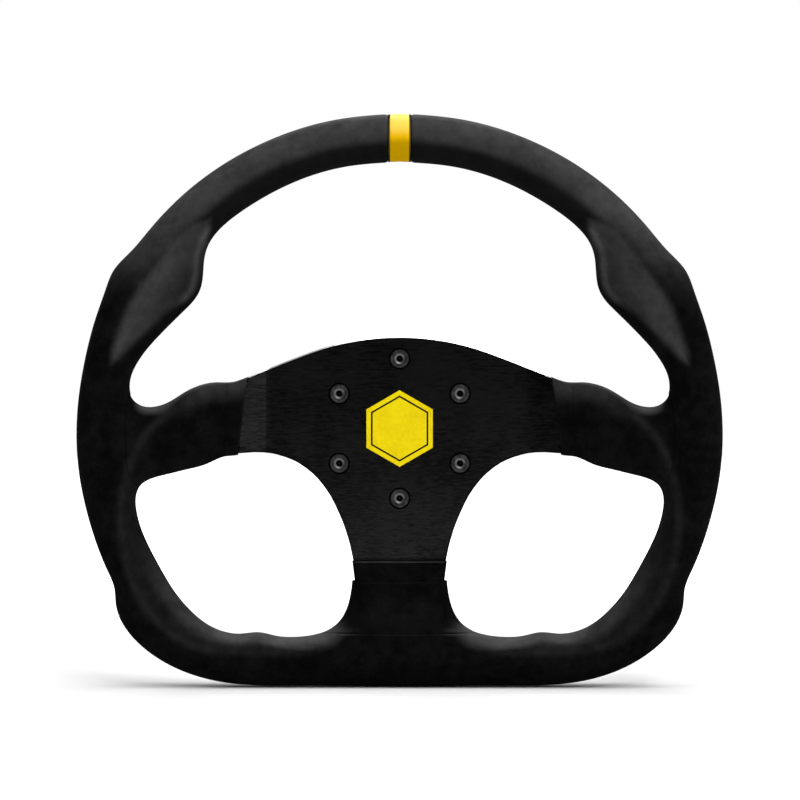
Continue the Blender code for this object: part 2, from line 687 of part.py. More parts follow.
def plate_blank():
    """The flat outline as a filled curve with chamfered edges, cut across at the bends and then bent."""
    half = plate_outline()
    outline = half + [(-x, y, smooth) for x, y, smooth in reversed(half[1:])]
    data = bpy.data.curves.new("plate_outline", "CURVE")
    data.dimensions = "2D"
    data.fill_mode = "BOTH"
    data.resolution_u = 3
    data.extrude = PLATE / 2 - PLATE_CHAMFER
    data.bevel_depth = PLATE_CHAMFER
    data.bevel_resolution = 0
    data.offset = -PLATE_CHAMFER
    spline = data.splines.new("BEZIER")
    spline.bezier_points.add(len(outline) - 1)
    spline.use_cyclic_u = True
    for point, (x, y, smooth) in zip(spline.bezier_points, outline):
        point.co = (x * MM, y * MM, 0)
        kind = "AUTO" if smooth else "VECTOR"
        point.handle_left_type = kind
        point.handle_right_type = kind
    curve = add_object("plate_outline", data)
    plate = baked_copy("spoke_plate", curve, "anodised_plate")
    bpy.data.objects.remove(curve)

    bm = bmesh.new()
    bm.from_mesh(plate.data)
    bmesh.ops.remove_doubles(bm, verts=bm.verts, dist=0.00001)
    bends = [((sign * PLATE_BEND_X, 0, 0), (sign, 0, 0)) for sign in (-1, 1)]
    bends.append(((0, PLATE_BEND_Y, 0), (0, -1, 0)))
    for middle, direction in bends:
        for share in BEND_CUTS:
            place = Vector(middle) + Vector(direction) * share * BEND_HALF_LENGTH
            geometry = bm.verts[:] + bm.edges[:] + bm.faces[:]
            bmesh.ops.bisect_plane(bm, geom=geometry, plane_co=place, plane_no=direction)
    for vert in bm.verts:
        lift = bend_lift(abs(vert.co.x) - PLATE_BEND_X, SIDE_ARM_SLOPE)
        lift += bend_lift(PLATE_BEND_Y - vert.co.y, BOTTOM_ARM_SLOPE)
        vert.co.z += PLATE_MIDDLE + lift
    bmesh.ops.recalc_face_normals(bm, faces=bm.faces)
    bm.to_mesh(plate.data)
    bm.free()
    return plate


def screw_places():
    """Matrices of the six screws' axes, the first at the top."""
    places = []
    for i in range(SCREW_COUNT):
        angle = math.tau * i / SCREW_COUNT
        shift = Vector((math.sin(angle), math.cos(angle), 0)) * BOLT_CIRCLE / 2
        places.append(Matrix.Translation(shift))
    return places


def spoke_plate():
    plate = plate_blank()
    head = SCREW_HEAD_RADIUS + GAP
    shank = SCREW_RADIUS + GAP
    seat = HEAD_EDGE - (math.sqrt(2) - 1) * GAP
    profile = (
        (0.0, PLATE_FRONT + PLATE),
        (head, PLATE_FRONT + PLATE),
        (head, seat),
        (shank, seat - (head - shank)),
        (shank, PLATE_REAR - PLATE),
        (0.0, PLATE_REAR - PLATE),
    )
    pattern = baked(turned("countersink", profile, steps=16))
    for number, place in enumerate(screw_places(), start=1):
        cutter = baked_copy(f"screw_hole_{number}", pattern)
        cutter.data.transform(place)
        boolean(plate, "DIFFERENCE", cutter)
    for arm_hole, place in rivet_places():
        hole = cylinder(f"{arm_hole}_hole", RIVET_RADIUS + GAP, -PLATE, PLATE, 12, place=place)
        boolean(plate, "DIFFERENCE", hole)


def plate_screws():
    """M5 countersunk screws with a hexagon socket."""
    profile = (
        (0.0, SCREW_TOP),
        (SCREW_HEAD_RADIUS, SCREW_TOP),
        (SCREW_HEAD_RADIUS, HEAD_EDGE),
        (SCREW_RADIUS, HEAD_EDGE - (SCREW_HEAD_RADIUS - SCREW_RADIUS)),
        (SCREW_RADIUS, SCREW_TOP - SCREW_LENGTH + SCREW_TIP),
        (SCREW_RADIUS - SCREW_TIP, SCREW_TOP - SCREW_LENGTH),
        (0.0, SCREW_TOP - SCREW_LENGTH),
    )
    pattern = turned("screw_pattern", profile, steps=16)
    across_corners = HEX_SOCKET / math.sqrt(3)
    low, high = SCREW_TOP - HEX_SOCKET_DEPTH, SCREW_TOP + HEX_SOCKET_DEPTH
    boolean(pattern, "DIFFERENCE", cylinder("hex_key", across_corners, low, high, 6))
    baked(pattern)
    for number, place in enumerate(screw_places(), start=1):
        screw = baked_copy(f"plate_screw_{number}", pattern, "screw_steel")
        screw.matrix_local = place
        shade_smooth(screw)


# --- Quick release hub ---------------------------------------------------------------------------------------------


def hub_flange():
    """The disc that the screws hold, with a bore for the socket and a hexagonal recess for its flange."""
    chamfer = HUB_CHAMFER
    bore = SOCKET_RADIUS + GAP
    profile = (
        (FLANGE_RADIUS - chamfer, FLANGE_FRONT),
        (FLANGE_RADIUS, FLANGE_FRONT - chamfer),
        (FLANGE_RADIUS, FLANGE_REAR + chamfer),
        (FLANGE_RADIUS - chamfer, FLANGE_REAR),
        (bore, FLANGE_REAR),
        (bore, FLANGE_FRONT),
    )
    flange = turned("hub_flange", profile, "hub_anodised")
    recess_floor = FLANGE_FRONT - HUB_HEX - GAP
    recess = cylinder("hex_recess", HUB_HEX_RADIUS + CORNER_GAP, recess_floor, FLANGE_FRONT + PLATE, 6)
    boolean(flange, "DIFFERENCE", recess)
    for number, place in enumerate(screw_places(), start=1):
        low, high = FLANGE_REAR - PLATE, FLANGE_FRONT + PLATE
        tapped = cylinder(f"tapped_hole_{number}", SCREW_RADIUS + GAP, low, high, 12, place=place)
        boolean(flange, "DIFFERENCE", tapped)
    shade_smooth(flange)


def spline_cutter():
    """A prism with one trapezoid tooth space for each spline tooth."""
    bm = bmesh.new()
    outline = []
    for tooth in range(SPLINE_TEETH):
        for share, radius in (
            (0.0, SPLINE_MINOR_RADIUS),
            (SPLINE_TOOTH_END, SPLINE_MINOR_RADIUS),
            (SPLINE_ROOT_START, SPLINE_MAJOR_RADIUS),
            (SPLINE_ROOT_END, SPLINE_MAJOR_RADIUS),
        ):
            angle = math.tau * (tooth + share) / SPLINE_TEETH
            outline.append((math.cos(angle) * radius, math.sin(angle) * radius))
    base = bm.faces.new([bm.verts.new((x, y, -PLATE)) for x, y in outline])
    grown = bmesh.ops.extrude_face_region(bm, geom=[base])["geom"]
    top = [item for item in grown if isinstance(item, bmesh.types.BMVert)]
    bmesh.ops.translate(bm, verts=top, vec=(0, 0, FLANGE_FRONT + 2 * PLATE))
    return mesh_object("spline_cutter", bm)


def ball_direction(number):
    angle = math.tau * (number - 1) / BALL_COUNT
    return Vector((math.sin(angle), math.cos(angle), 0))


def hub_socket():
    """The splined steel sleeve, with a hexagonal front flange, ball pockets and a groove for the circlip."""
    chamfer = SOCKET_CHAMFER
    profile = (
        (0.0, FLANGE_FRONT),
        (SOCKET_RADIUS, FLANGE_FRONT),
        (SOCKET_RADIUS, RING_GROOVE_END),
        (RING_GROOVE_RADIUS, RING_GROOVE_END),
        (RING_GROOVE_RADIUS, RING_GROOVE_START),
        (SOCKET_RADIUS, RING_GROOVE_START),
        (SOCKET_RADIUS, chamfer),
        (SOCKET_RADIUS - chamfer, 0.0),
        (0.0, 0.0),
    )
    socket = turned("hub_socket", profile, "steel", steps=28)
    hex_flange = cylinder("hex_flange", HUB_HEX_RADIUS, FLANGE_FRONT - HUB_HEX, FLANGE_FRONT, 6)
    boolean(socket, "UNION", hex_flange)
    boolean(socket, "DIFFERENCE", spline_cutter())
    for number in range(1, BALL_COUNT + 1):
        turn = ball_direction(number).to_track_quat("Z", "Y").to_matrix().to_4x4()
        place = Matrix.Translation((0, 0, BALL_PLANE)) @ turn
        low, high = SPLINE_MINOR_RADIUS - BALL_RADIUS, SOCKET_RADIUS + BALL_RADIUS
        pocket = cylinder(f"ball_pocket_{number}", BALL_HOLE_RADIUS, low, high, 12, place=place)
        boolean(socket, "DIFFERENCE", pocket)
    shade_smooth(socket)


def lock_balls():
    for number in range(1, BALL_COUNT + 1):
        bm = bmesh.new()
        bmesh.ops.create_uvsphere(bm, u_segments=10, v_segments=6, radius=BALL_RADIUS)
        ball = mesh_object(f"lock_ball_{number}", bm, "steel")
        ball.location = ball_direction(number) * BALL_SEAT_RADIUS + Vector((0, 0, BALL_PLANE))
        shade_smooth(ball, 60)


def release_collar():
    """The collar slides forward to free the balls. Inside: a ramp, a guide land and the spring's pocket."""
    chamfer = HUB_CHAMFER
    waist = COLLAR_FRONT - COLLAR_LIP
    mouth = COLLAR_LAND_RADIUS + COLLAR_RAMP * (BALL_PLANE - COLLAR_REAR)
    profile = (
        (COLLAR_LIP_RADIUS - chamfer, COLLAR_FRONT),
        (COLLAR_LIP_RADIUS, COLLAR_FRONT - chamfer),
        (COLLAR_LIP_RADIUS, waist),
        (COLLAR_RADIUS, waist - (COLLAR_LIP_RADIUS - COLLAR_RADIUS)),
        (COLLAR_RADIUS, COLLAR_REAR + chamfer),
        (COLLAR_RADIUS - chamfer, COLLAR_REAR),
        (mouth, COLLAR_REAR),
        (COLLAR_LAND_RADIUS, BALL_PLANE),
        (COLLAR_LAND_RADIUS, COLLAR_LAND_END),
        (COLLAR_POCKET_RADIUS, COLLAR_LAND_END),
        (COLLAR_POCKET_RADIUS, COLLAR_FRONT),
    )
    shade_smooth(turned("release_collar", profile, "collar_anodised"))


def release_spring():
    """A round-wire compression spring between the collar's pocket and the flange."""
    low = COLLAR_LAND_END + GAP + SPRING_WIRE_RADIUS
    high = FLANGE_REAR - GAP - SPRING_WIRE_RADIUS
    count = SPRING_TURNS * SPRING_POINTS_PER_TURN + 1
    data = bpy.data.curves.new("release_spring", "CURVE")
    data.dimensions = "3D"
    data.bevel_depth = SPRING_WIRE_RADIUS
    data.bevel_resolution = 1
    data.use_fill_caps = True
    spline = data.splines.new("POLY")
    spline.points.add(count - 1)
    for i, point in enumerate(spline.points):
        angle = math.tau * i / SPRING_POINTS_PER_TURN
        share = i / (count - 1)
        height = low + (high - low) * share
        point.co = (math.cos(angle) * SPRING_RADIUS, math.sin(angle) * SPRING_RADIUS, height, 1)
    add_object("release_spring", data, "spring_steel")


def collar_retaining_ring():
    """An open circlip in the socket's groove, which stops the collar."""
    low, high = RING_GROOVE_START + GAP, RING_GROOVE_END - GAP
    inner = RING_GROOVE_RADIUS + GAP
    profile = ((CIRCLIP_RADIUS, high), (CIRCLIP_RADIUS, low), (inner, low), (inner, high))
    circlip = turned("collar_retaining_ring", profile, "spring_steel", steps=28)
    slot = box("circlip_slot", (-CIRCLIP_SLOT / 2, -2 * CIRCLIP_RADIUS, 0), (CIRCLIP_SLOT / 2, 0, COLLAR_REAR))
    boolean(circlip, "DIFFERENCE", slot)


suede_panels()
rim_armature()
rivets()
grip_core()
spoke_plate()
plate_screws()
hub_flange()
hub_socket()
lock_balls()
release_collar()
release_spring()
collar_retaining_ring()
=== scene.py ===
"""Looks of a flat-bottomed racing steering wheel with a quick release hub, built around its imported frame."""

import math

import bpy
import numpy as np
from bpy.props import BoolProperty, FloatProperty, FloatVectorProperty, IntProperty, PointerProperty
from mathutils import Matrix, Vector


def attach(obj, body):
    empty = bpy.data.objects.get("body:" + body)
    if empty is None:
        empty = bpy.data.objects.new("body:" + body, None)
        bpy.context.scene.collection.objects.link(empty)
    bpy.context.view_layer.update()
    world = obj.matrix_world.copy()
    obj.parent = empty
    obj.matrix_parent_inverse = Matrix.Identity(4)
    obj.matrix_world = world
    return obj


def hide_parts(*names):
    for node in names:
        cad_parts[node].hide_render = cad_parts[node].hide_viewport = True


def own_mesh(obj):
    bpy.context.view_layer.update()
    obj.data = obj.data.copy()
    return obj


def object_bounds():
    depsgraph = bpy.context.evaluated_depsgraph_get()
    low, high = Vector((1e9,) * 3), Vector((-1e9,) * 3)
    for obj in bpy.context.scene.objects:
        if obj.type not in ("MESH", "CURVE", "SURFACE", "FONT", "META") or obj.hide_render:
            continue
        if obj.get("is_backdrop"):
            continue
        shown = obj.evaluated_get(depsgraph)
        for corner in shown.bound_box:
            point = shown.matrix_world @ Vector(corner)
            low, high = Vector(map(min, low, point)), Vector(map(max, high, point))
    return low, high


bl_info = {
    "name": "Racing steering wheel",
    "version": (1, 0, 0),
    "blender": (4, 5, 0),
    "location": "3D View > Sidebar > Wheel",
    "description": "Builds a suede racing steering wheel and its quick release hub",
    "category": "Object",
}

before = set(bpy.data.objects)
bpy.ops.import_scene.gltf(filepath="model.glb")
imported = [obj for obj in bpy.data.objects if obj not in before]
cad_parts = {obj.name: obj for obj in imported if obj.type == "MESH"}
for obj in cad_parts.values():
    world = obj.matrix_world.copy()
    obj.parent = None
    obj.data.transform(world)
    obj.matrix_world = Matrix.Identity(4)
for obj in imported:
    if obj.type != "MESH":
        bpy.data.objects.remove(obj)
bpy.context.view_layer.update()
MM = 0.001
MIRROR = np.array([-1, 1])

# ---- sizes of the wheel, in mm
# A point is (across, up) from the steering axis. Outlines are the right half; the wheel is the same on the left.
# Distances forward are from the hub's rear face towards the driver.
OUTER_EDGE = [
    (0, 156.2), (30, 153.4), (60, 144.9), (86.5, 131.5), (106.5, 116.6), (124, 98.5), (132.5, 88.5),
    (137.5, 83.5), (141.5, 78.7), (145.7, 68.8), (150.8, 54), (155.9, 34), (159, 15), (160, -1),
    (159, -20), (155.2, -40), (149, -60), (144.8, -70), (141.2, -79.5), (140.7, -85.5), (139.4, -91.5),
    (135, -99.7), (125.3, -109.6), (108.5, -119.5), (86.5, -125.6), (52, -127.1), (0, -127.5),
]
UPPER_WINDOW = [
    (0, 132.2), (27, 129.8), (52, 122.3), (76.6, 108.9), (86.5, 101.4), (91.5, 96.2), (95, 90.5),
    (96.8, 83.6), (97.4, 76), (98.8, 69), (101.8, 63.8), (106.4, 58.9), (121.2, 44), (129.3, 34.1),
    (132.8, 27.6), (134, 21.5), (132.6, 15.2), (127.5, 11.3), (121.2, 11), (116, 12.6), (106.3, 18.6),
    (99, 21.9), (91.5, 23.2), (84, 23.3), (76, 25.9), (66.7, 29.1),
]
LOWER_WINDOW = [
    (70, -11.6), (77, -12), (81.5, -13.3), (87, -13.9), (96.4, -17.7), (106.3, -20.4), (116.2, -22.8),
    (123.5, -24.8), (128.6, -28), (131, -34), (130.6, -40.2), (127.8, -50), (123.3, -60), (117.9, -70),
    (111.9, -79.9), (103.7, -89.8), (95.6, -96.5), (86.5, -100.5), (79, -101.4), (70, -100.7),
    (61, -102.5), (52, -103.1), (42, -102.1), (35.5, -100), (30.4, -96.4), (27, -91.2), (24.8, -84),
    (23.8, -76), (23.9, -66), (24.6, -60),
]
SIDE_SEAM = [(134.2, 17.4), (134.9, 6), (134.7, -12), (133.4, -22), (129.6, -29.4)]
BOTTOM_SEAM = [(37.6, -100.9), (20, -101.4), (0, -101.6)]
# Stations where the outer edge (first) and the inner edge (second) of the rim panel face each other.
RIM_STATIONS = [
    ((60, 144.9), (51, 122.6)), ((106.5, 116.6), (90.6, 97.3)), ((137.5, 83.5), (97.1, 79)),
    ((150.8, 54), (112, 53.2)), ((157.7, 24), (134, 21.5)), ((160, -1), (134.9, -2)),
    ((158, -27), (129.6, -29.4)), ((149, -60), (124, -58.6)), ((140.7, -85.5), (108, -84.8)),
    ((125.3, -109.6), (93, -98)), ((86.5, -125.6), (76.6, -101.4)), ((52, -127.1), (50, -103.1)),
    ((37, -127.2), (37.6, -100.9)),
]
THUMB_REST = [
    (90, 106), (101, 104), (110.2, 99), (117, 89.5), (123, 80.8), (131.5, 68.8), (137.4, 56.4), (141.9, 44),
    (143.9, 34), (142.5, 30), (138.9, 31.6), (130.2, 39.5), (119, 50.2), (108, 59.5), (99, 67), (93, 84),
]
FRONT_RIDGE = [
    (97, 20.5), (106, 14), (114, 8.4), (121, 2), (127.5, -6), (132, -16), (136, -30), (137, -44), (135, -62),
    (130.5, -77), (123, -90), (114, -99), (103, -105.5), (88, -108.6), (66, -109.4), (44, -109.6),
]
RIM_DEPTH = 14.0  # from the rim's middle plane to its front or back
RIM_PLANE = 64.3  # how far forward the rim's middle plane is
PLATE_PLANE = 44.3
PLATE_FRONT = 46.3
SIDE_BEND_X = 64.5
SIDE_BEND_RISE = 20 / 82.5
BOTTOM_BEND_Z = -67.5
BOTTOM_BEND_RISE = 20 / 46.7
# The depth of the grip along the side arms (by distance across) and down the bottom arm (by distance below).
SIDE_DEPTHS = ([76, 81, 88, 98.3, 107, 116.7, 125.7, 137, 147], [3.9, 4.1, 4.6, 7.2, 9.8, 11.9, 13, 13.6, 14])
BOTTOM_DEPTHS = ([66.8, 76.5, 86, 94.7, 101.5, 115], [3.9, 4.8, 8, 11.2, 13, 14])
SIDE_HEM = ((76, 25.9), (81, -13.2))
SIDE_CREASE = ((86.2, 23.15), (87.6, -14.1))
BOTTOM_HEM_Z = -66.4
BOTTOM_CREASE_Z = -76.4
EDGE_ROUND = 12  # the widest rounding of the grip's edges
BEVEL_ROUND = 6
BEVEL_SLOPE = 0.58
RIM_SLOPE = 0.1
RIDGE_ROUND = 1.4
RIB_HEIGHT = 0.45
RIB_WIDTH = 1.5
REST_SCOOP = 4.2  # how deep the thumb rests are scooped, over how long a run from their edges
REST_RUN = 13
REST_LEAN = 2.5  # how much deeper they are at the top
SEAM_DIP = 0.22
SEAM_WIDTH = 1.0
CREASE_DIP = 0.1
HEM_EDGE = 0.8
EDGE_LEAST = 0.05
LACING_BETWEEN = (0.36, 0.42)  # shares of the way across the back
LACING_PITCH = 2.6
LACING_THREAD = 0.35  # radius
MARKER_HALF = 5.5
MARKER_RECESS = 0.2
MARKER_GAP = 0.1
MARKER_PITCH = 0.8
MARKER_THREAD = 0.2
BADGE_LIFT = 0.02
BADGE_THICK = 0.2
BADGE_FRAME = 2.6  # from the frame's corner to its inner corner
BADGE_LINE = 1.0  # between the frame and the middle
SCREW_CIRCLE = 35
SCREW_SOCKET = 1.6  # radii that end the socket, the bevel round it, and the flat of the head
SCREW_BEVEL = 2.6
SCREW_RIM = 4.6
# A screw's profile: radius, distance forward, and 1 where the section is a hexagon.
SCREW_PROFILE = [
    (0.4, 44, 1), (1.4, 44.1, 1), (1.45, 45.6, 1), (1.5, 45.68, 1), (1.75, 45.72, 0), (2.5, 46.05, 0),
    (2.65, 46.1, 0), (4.4, 46.1, 0), (4.62, 46.06, 0), (4.8, 45.95, 0), (4.9, 45.7, 0), (2.4, 43.2, 0),
    (2.4, 34.6, 0), (1.9, 34.1, 0),
]
# The collar's profile: radius and distance forward.
COLLAR_PROFILE = [
    (28, 27), (28.7, 26.7), (29, 26), (29, 22.6), (28.6, 21.9), (24.9, 17.7), (24.5, 17), (24.5, 5.8), (24.2, 5.1),
    (23.5, 4.8), (17.6, 4.8), (16.3, 10), (16.3, 14), (21.6, 14), (21.6, 27),
]
KNURLS = 70
KNURL_TWIST = 2.9  # radians of groove for each mm forward
# The spring: radius, radius of the wire, turns, and where the wire's middle starts and ends along the axis.
SPRING = (18.9, 1.1, 5, 15.4, 32.6)
# A locking ball: its radius, its middle's distance from the axis, and its middle's distance forward.
LOCK_BALL = (3.175, 12.85, 10)
VIEW_ACROSS = 0.2
VIEW_UP = 14.3


# ---- working out shapes
def lengths_along(line):
    """How far along a line each of its points lies."""
    return np.concatenate([[0], np.cumsum(np.linalg.norm(np.diff(line, axis=0), axis=1))])


def read_at(line, lengths, along=None):
    """The points that lie those lengths along a line. along is how far along its own points are, if not measured
    on the line itself."""
    along = lengths_along(line) if along is None else along
    return np.stack([np.interp(lengths, along, column) for column in line.T], 1)


def unit(vectors):
    return vectors / np.maximum(np.linalg.norm(vectors, axis=-1, keepdims=True), 1e-9)


def smooth_line(points, step=1.0):
    """A natural cubic spline through the points, over the length of the chords, read about every step mm."""
    points = np.array(points, float)
    at = lengths_along(points)
    gaps = np.diff(at)
    count = len(points)
    rows = np.eye(count)
    sides = np.zeros((count, 2))
    inner = np.arange(1, count - 1)
    rows[inner, inner - 1] = gaps[:-1]
    rows[inner, inner] = 2 * (gaps[:-1] + gaps[1:])
    rows[inner, inner + 1] = gaps[1:]
    slopes = np.diff(points, axis=0) / gaps[:, None]
    sides[1:-1] = 6 * np.diff(slopes, axis=0)
    bends = np.linalg.solve(rows, sides)
    wanted = np.linspace(0, at[-1], max(2, int(at[-1] / step)) + 1)
    span = np.clip(np.searchsorted(at, wanted, side="right") - 1, 0, count - 2)
    width = gaps[span][:, None]
    right = (wanted - at[span])[:, None]
    left = width - right
    cubic = (bends[span] * left**3 + bends[span + 1] * right**3) / (6 * width)
    first = (points[span] / width - bends[span] * width / 6) * left
    second = (points[span + 1] / width - bends[span + 1] * width / 6) * right
    return cubic + first + second


def nearest_on(line, points):
    """(distance, side) of each point to a line of straight pieces; side is above 0 on the left of its direction."""
    shape = points.shape[:-1]
    flat = points.reshape(-1, 2)
    starts = line[:-1]
    runs = np.diff(line, axis=0)
    lengths = (runs**2).sum(1)
    distance = np.empty(len(flat))
    side = np.empty(len(flat))
    block = 4000
    for low in range(0, len(flat), block):
        away = flat[low : low + block, None, :] - starts[None]
        share = np.clip((away * runs).sum(2) / lengths, 0, 1)
        gap = away - share[..., None] * runs
        squares = (gap**2).sum(2)
        best = squares.argmin(1)
        row = np.arange(len(best))
        distance[low : low + block] = np.sqrt(squares[row, best])
        turn = runs[best, 0] * gap[row, best, 1] - runs[best, 1] * gap[row, best, 0]
        side[low : low + block] = np.sign(turn)
    return distance.reshape(shape), side.reshape(shape)


def stretch(line, first, last, count):
    """count points, evenly spaced along the part of a line between its points nearest to first and last."""
    begin = np.hypot(*(line - np.array(first)).T).argmin()
    end = np.hypot(*(line - np.array(last)).T).argmin()
    piece = line[begin : end + 1] if begin <= end else line[end : begin + 1][::-1]
    return read_at(piece, np.linspace(0, lengths_along(piece)[-1], count))


def length_at(line, point):
    """How far along a line its point nearest to the given one lies."""
    return lengths_along(line)[np.hypot(*(line - np.array(point)).T).argmin()]


def ease(value, low, high):
    """0 below low, 1 above high, and a smooth cubic step between them."""
    share = np.clip((value - low) / (high - low), 0, 1)
    return share * share * (3 - 2 * share)


def round_over(distance, radius):
    """A quarter of an ellipse: 0 at the edge, rising steeply, and 1 from radius inwards."""
    share = np.clip(distance / radius, 0, 1)
    return np.sqrt(share * (2 - share))


OUTER_LINE = smooth_line(OUTER_EDGE)
UPPER_LINE = smooth_line(UPPER_WINDOW)
LOWER_LINE = smooth_line(LOWER_WINDOW)
SIDE_SEAM_LINE = smooth_line(SIDE_SEAM)
BOTTOM_SEAM_LINE = smooth_line(BOTTOM_SEAM)
RIDGE_LINE = smooth_line(FRONT_RIDGE)
REST_LINE = smooth_line(THUMB_REST)
REST_RIM_LINE = smooth_line(THUMB_REST[1:9])


def inside(outline, points):
    """True where a point is inside a closed outline: a ray to the right crosses it an odd number of times."""
    start = outline
    end = np.roll(outline, -1, axis=0)
    x = points[..., 0, None]
    z = points[..., 1, None]
    crosses = (start[:, 1] > z) != (end[:, 1] > z)
    rise = np.where(end[:, 1] == start[:, 1], 1, end[:, 1] - start[:, 1])
    reach = start[:, 0] + (z - start[:, 1]) / rise * (end[:, 0] - start[:, 0])
    return (crosses & (x < reach)).sum(-1) % 2 == 1


def grip_surface(points):
    """Where the suede lies over each point of the wheel's plane, in mm: the middle plane, then the height of the
    front and of the back over it. Then, from 0 to 1: how far the nap is rubbed up, with painted top light and sheen on
    the upper rim, the rests, the spoke tops and the bevel; how near a worn ridge is, with a painted highlight along it
    and along the upper window's inner edge; and painted shade where the nap lies flat. The height is the depth there
    times a quarter ellipse of the distance to the nearest edge; the middle plane follows the bent arms; the front is
    lowered in the thumb rests and inside the ridge of the lower rim."""
    folded = np.stack([np.abs(points[..., 0]), points[..., 1]], -1)
    x, z = folded[..., 0], folded[..., 1]
    to_outer, _ = nearest_on(OUTER_LINE, folded)
    to_upper, _ = nearest_on(UPPER_LINE, folded)
    to_lower, _ = nearest_on(LOWER_LINE, folded)
    to_window = np.minimum(to_upper, to_lower)
    # the middle plane and the depth, which follow the arms near the spokes
    near_side = ease(-z, -42, -27) * ease(z, -52, -31)
    near_bottom = ease(-x, -62, -31) * (z < 0)
    side_plane = np.minimum(PLATE_PLANE + SIDE_BEND_RISE * (x - SIDE_BEND_X), RIM_PLANE)
    bottom_plane = np.minimum(PLATE_PLANE + BOTTOM_BEND_RISE * (BOTTOM_BEND_Z - z), RIM_PLANE)
    middle = RIM_PLANE - (RIM_PLANE - side_plane) * near_side - (RIM_PLANE - bottom_plane) * near_bottom
    side_depth = np.interp(x, *SIDE_DEPTHS)
    bottom_depth = np.interp(-z, *BOTTOM_DEPTHS)
    depth = RIM_DEPTH - (RIM_DEPTH - side_depth) * near_side - (RIM_DEPTH - bottom_depth) * near_bottom
    # the rounded edges
    bevel = ease(-z, 8, 36) * ease(x, 34, 60)
    radius = np.minimum(EDGE_ROUND, 1.6 + 0.85 * depth)
    window_radius = radius * (1 - bevel) + BEVEL_ROUND * bevel
    shell = np.minimum(round_over(to_outer, radius), round_over(to_window, window_radius))
    back = depth * np.minimum(round_over(to_outer, radius), round_over(to_window, radius))
    # the ridge of the lower rim, inside which the front falls away
    to_ridge, side = nearest_on(RIDGE_LINE, folded)
    inward = to_ridge * -side
    ridge_shown = np.clip(ease(x, 103, 116) * ease(-z, -14, -4) + bevel, 0, 1)
    slope = RIM_SLOPE + BEVEL_SLOPE * bevel
    falling = (np.sqrt(inward**2 + RIDGE_ROUND**2) + inward) / 2 * slope * ridge_shown
    rib = RIB_HEIGHT * np.exp(-((inward / RIB_WIDTH) ** 2)) * ridge_shown * (1 - bevel)
    # the thumb rests
    to_rest, _ = nearest_on(np.vstack([REST_LINE, REST_LINE[:1]]), folded)
    in_rest = inside(REST_LINE, folded) * to_rest
    scoop = REST_SCOOP * (1 - (1 - np.clip(in_rest / REST_RUN, 0, 1)) ** 2)
    lean = REST_LEAN * np.clip((z - 40) / 60, 0, 1) * ease(in_rest, 0, 10)
    front = np.maximum(depth - falling - scoop - lean, 2) * shell + rib
    # how the nap lies, and the painted light on it: rubbed up, with painted top light and sheen, on the upper rim, the
    # rests, the spokes and the bevel, and flat, with painted shade, further in
    over = to_outer / (to_outer + to_upper + 1e-6)
    # painted sheen: paler high on the upper rim, fading towards the window
    upper = ease(z, 58, 108) * (1 - 0.45 * over) * (1 - 0.8 * ease(over, 0.5, 0.72))
    to_rest_rim, _ = nearest_on(REST_RIM_LINE, folded)
    # painted top light: paler in the thumb rests (partly real wear of the nap), on the spoke tops and on the up-facing
    # lower bevel
    rest_nap_and_light = (0.16 + 0.3 * ease(-to_rest_rim, -24, -3)) * np.minimum(ease(in_rest, 0, 5), ease(to_rest_rim, 0, 2.5))
    spoke_top_light = 0.32 * near_side * ease(-to_upper, -13, -1) * ease(-x, -120, -96)
    bevel_top_light = (0.06 + 0.4 * ease(-z, 50, 100) * ease(-to_window, -9, -1)) * bevel * ease(inward, -0.5, 5)
    nap_and_top_light = np.maximum(np.maximum(rest_nap_and_light, bevel_top_light), np.maximum(0.52 * upper, spoke_top_light))
    # painted shade: darker on the inner, downward-facing half of the upper rim and on the bottom spoke
    painted_shade = np.maximum(ease(z, 60, 80) * ease(over, 0.5, 0.66), 0.1 * near_bottom * ease(-z, 66, 68))
    # painted highlights: along the lower rim's ridge, over its wear, and along the upper window's inner edge
    ridge_wear_and_highlight = np.exp(-((inward / 2.2) ** 2)) * ridge_shown
    window_edge_highlight = 3.6 * np.exp(-(((to_upper - 3.4) / 1.5) ** 2))
    window_edge_highlight = window_edge_highlight * ease(z, 58, 66) * ease(-z, -103, -96) * ease(x, 90, 95)
    heights = np.maximum(front, EDGE_LEAST), np.maximum(back, EDGE_LEAST)
    return middle, *heights, nap_and_top_light, ridge_wear_and_highlight + window_edge_highlight, painted_shade


def outward(points, faces):
    """The four-cornered faces turned so that the volume inside them is above 0."""
    triangles = points[np.concatenate([faces[:, :3], faces[:, [0, 2, 3]]])]
    return faces if np.linalg.det(triangles).sum() > 0 else faces[:, ::-1]


def grid_faces(rows, columns, close_rows):
    """Four-cornered faces between the rows of a grid whose columns join up into a loop."""
    row = np.arange(rows if close_rows else rows - 1)[:, None]
    column = np.arange(columns)[None]
    ahead = (row + 1) % rows
    beside = (column + 1) % columns
    corners = [row * columns + column, ahead * columns + column, ahead * columns + beside, row * columns + beside]
    return np.stack(np.broadcast_arrays(*corners), -1).reshape(-1, 4)


def put_in(name, data):
    """A new object in the scene that holds the data."""
    made = bpy.data.objects.new(name, data)
    bpy.context.scene.collection.objects.link(made)
    return made


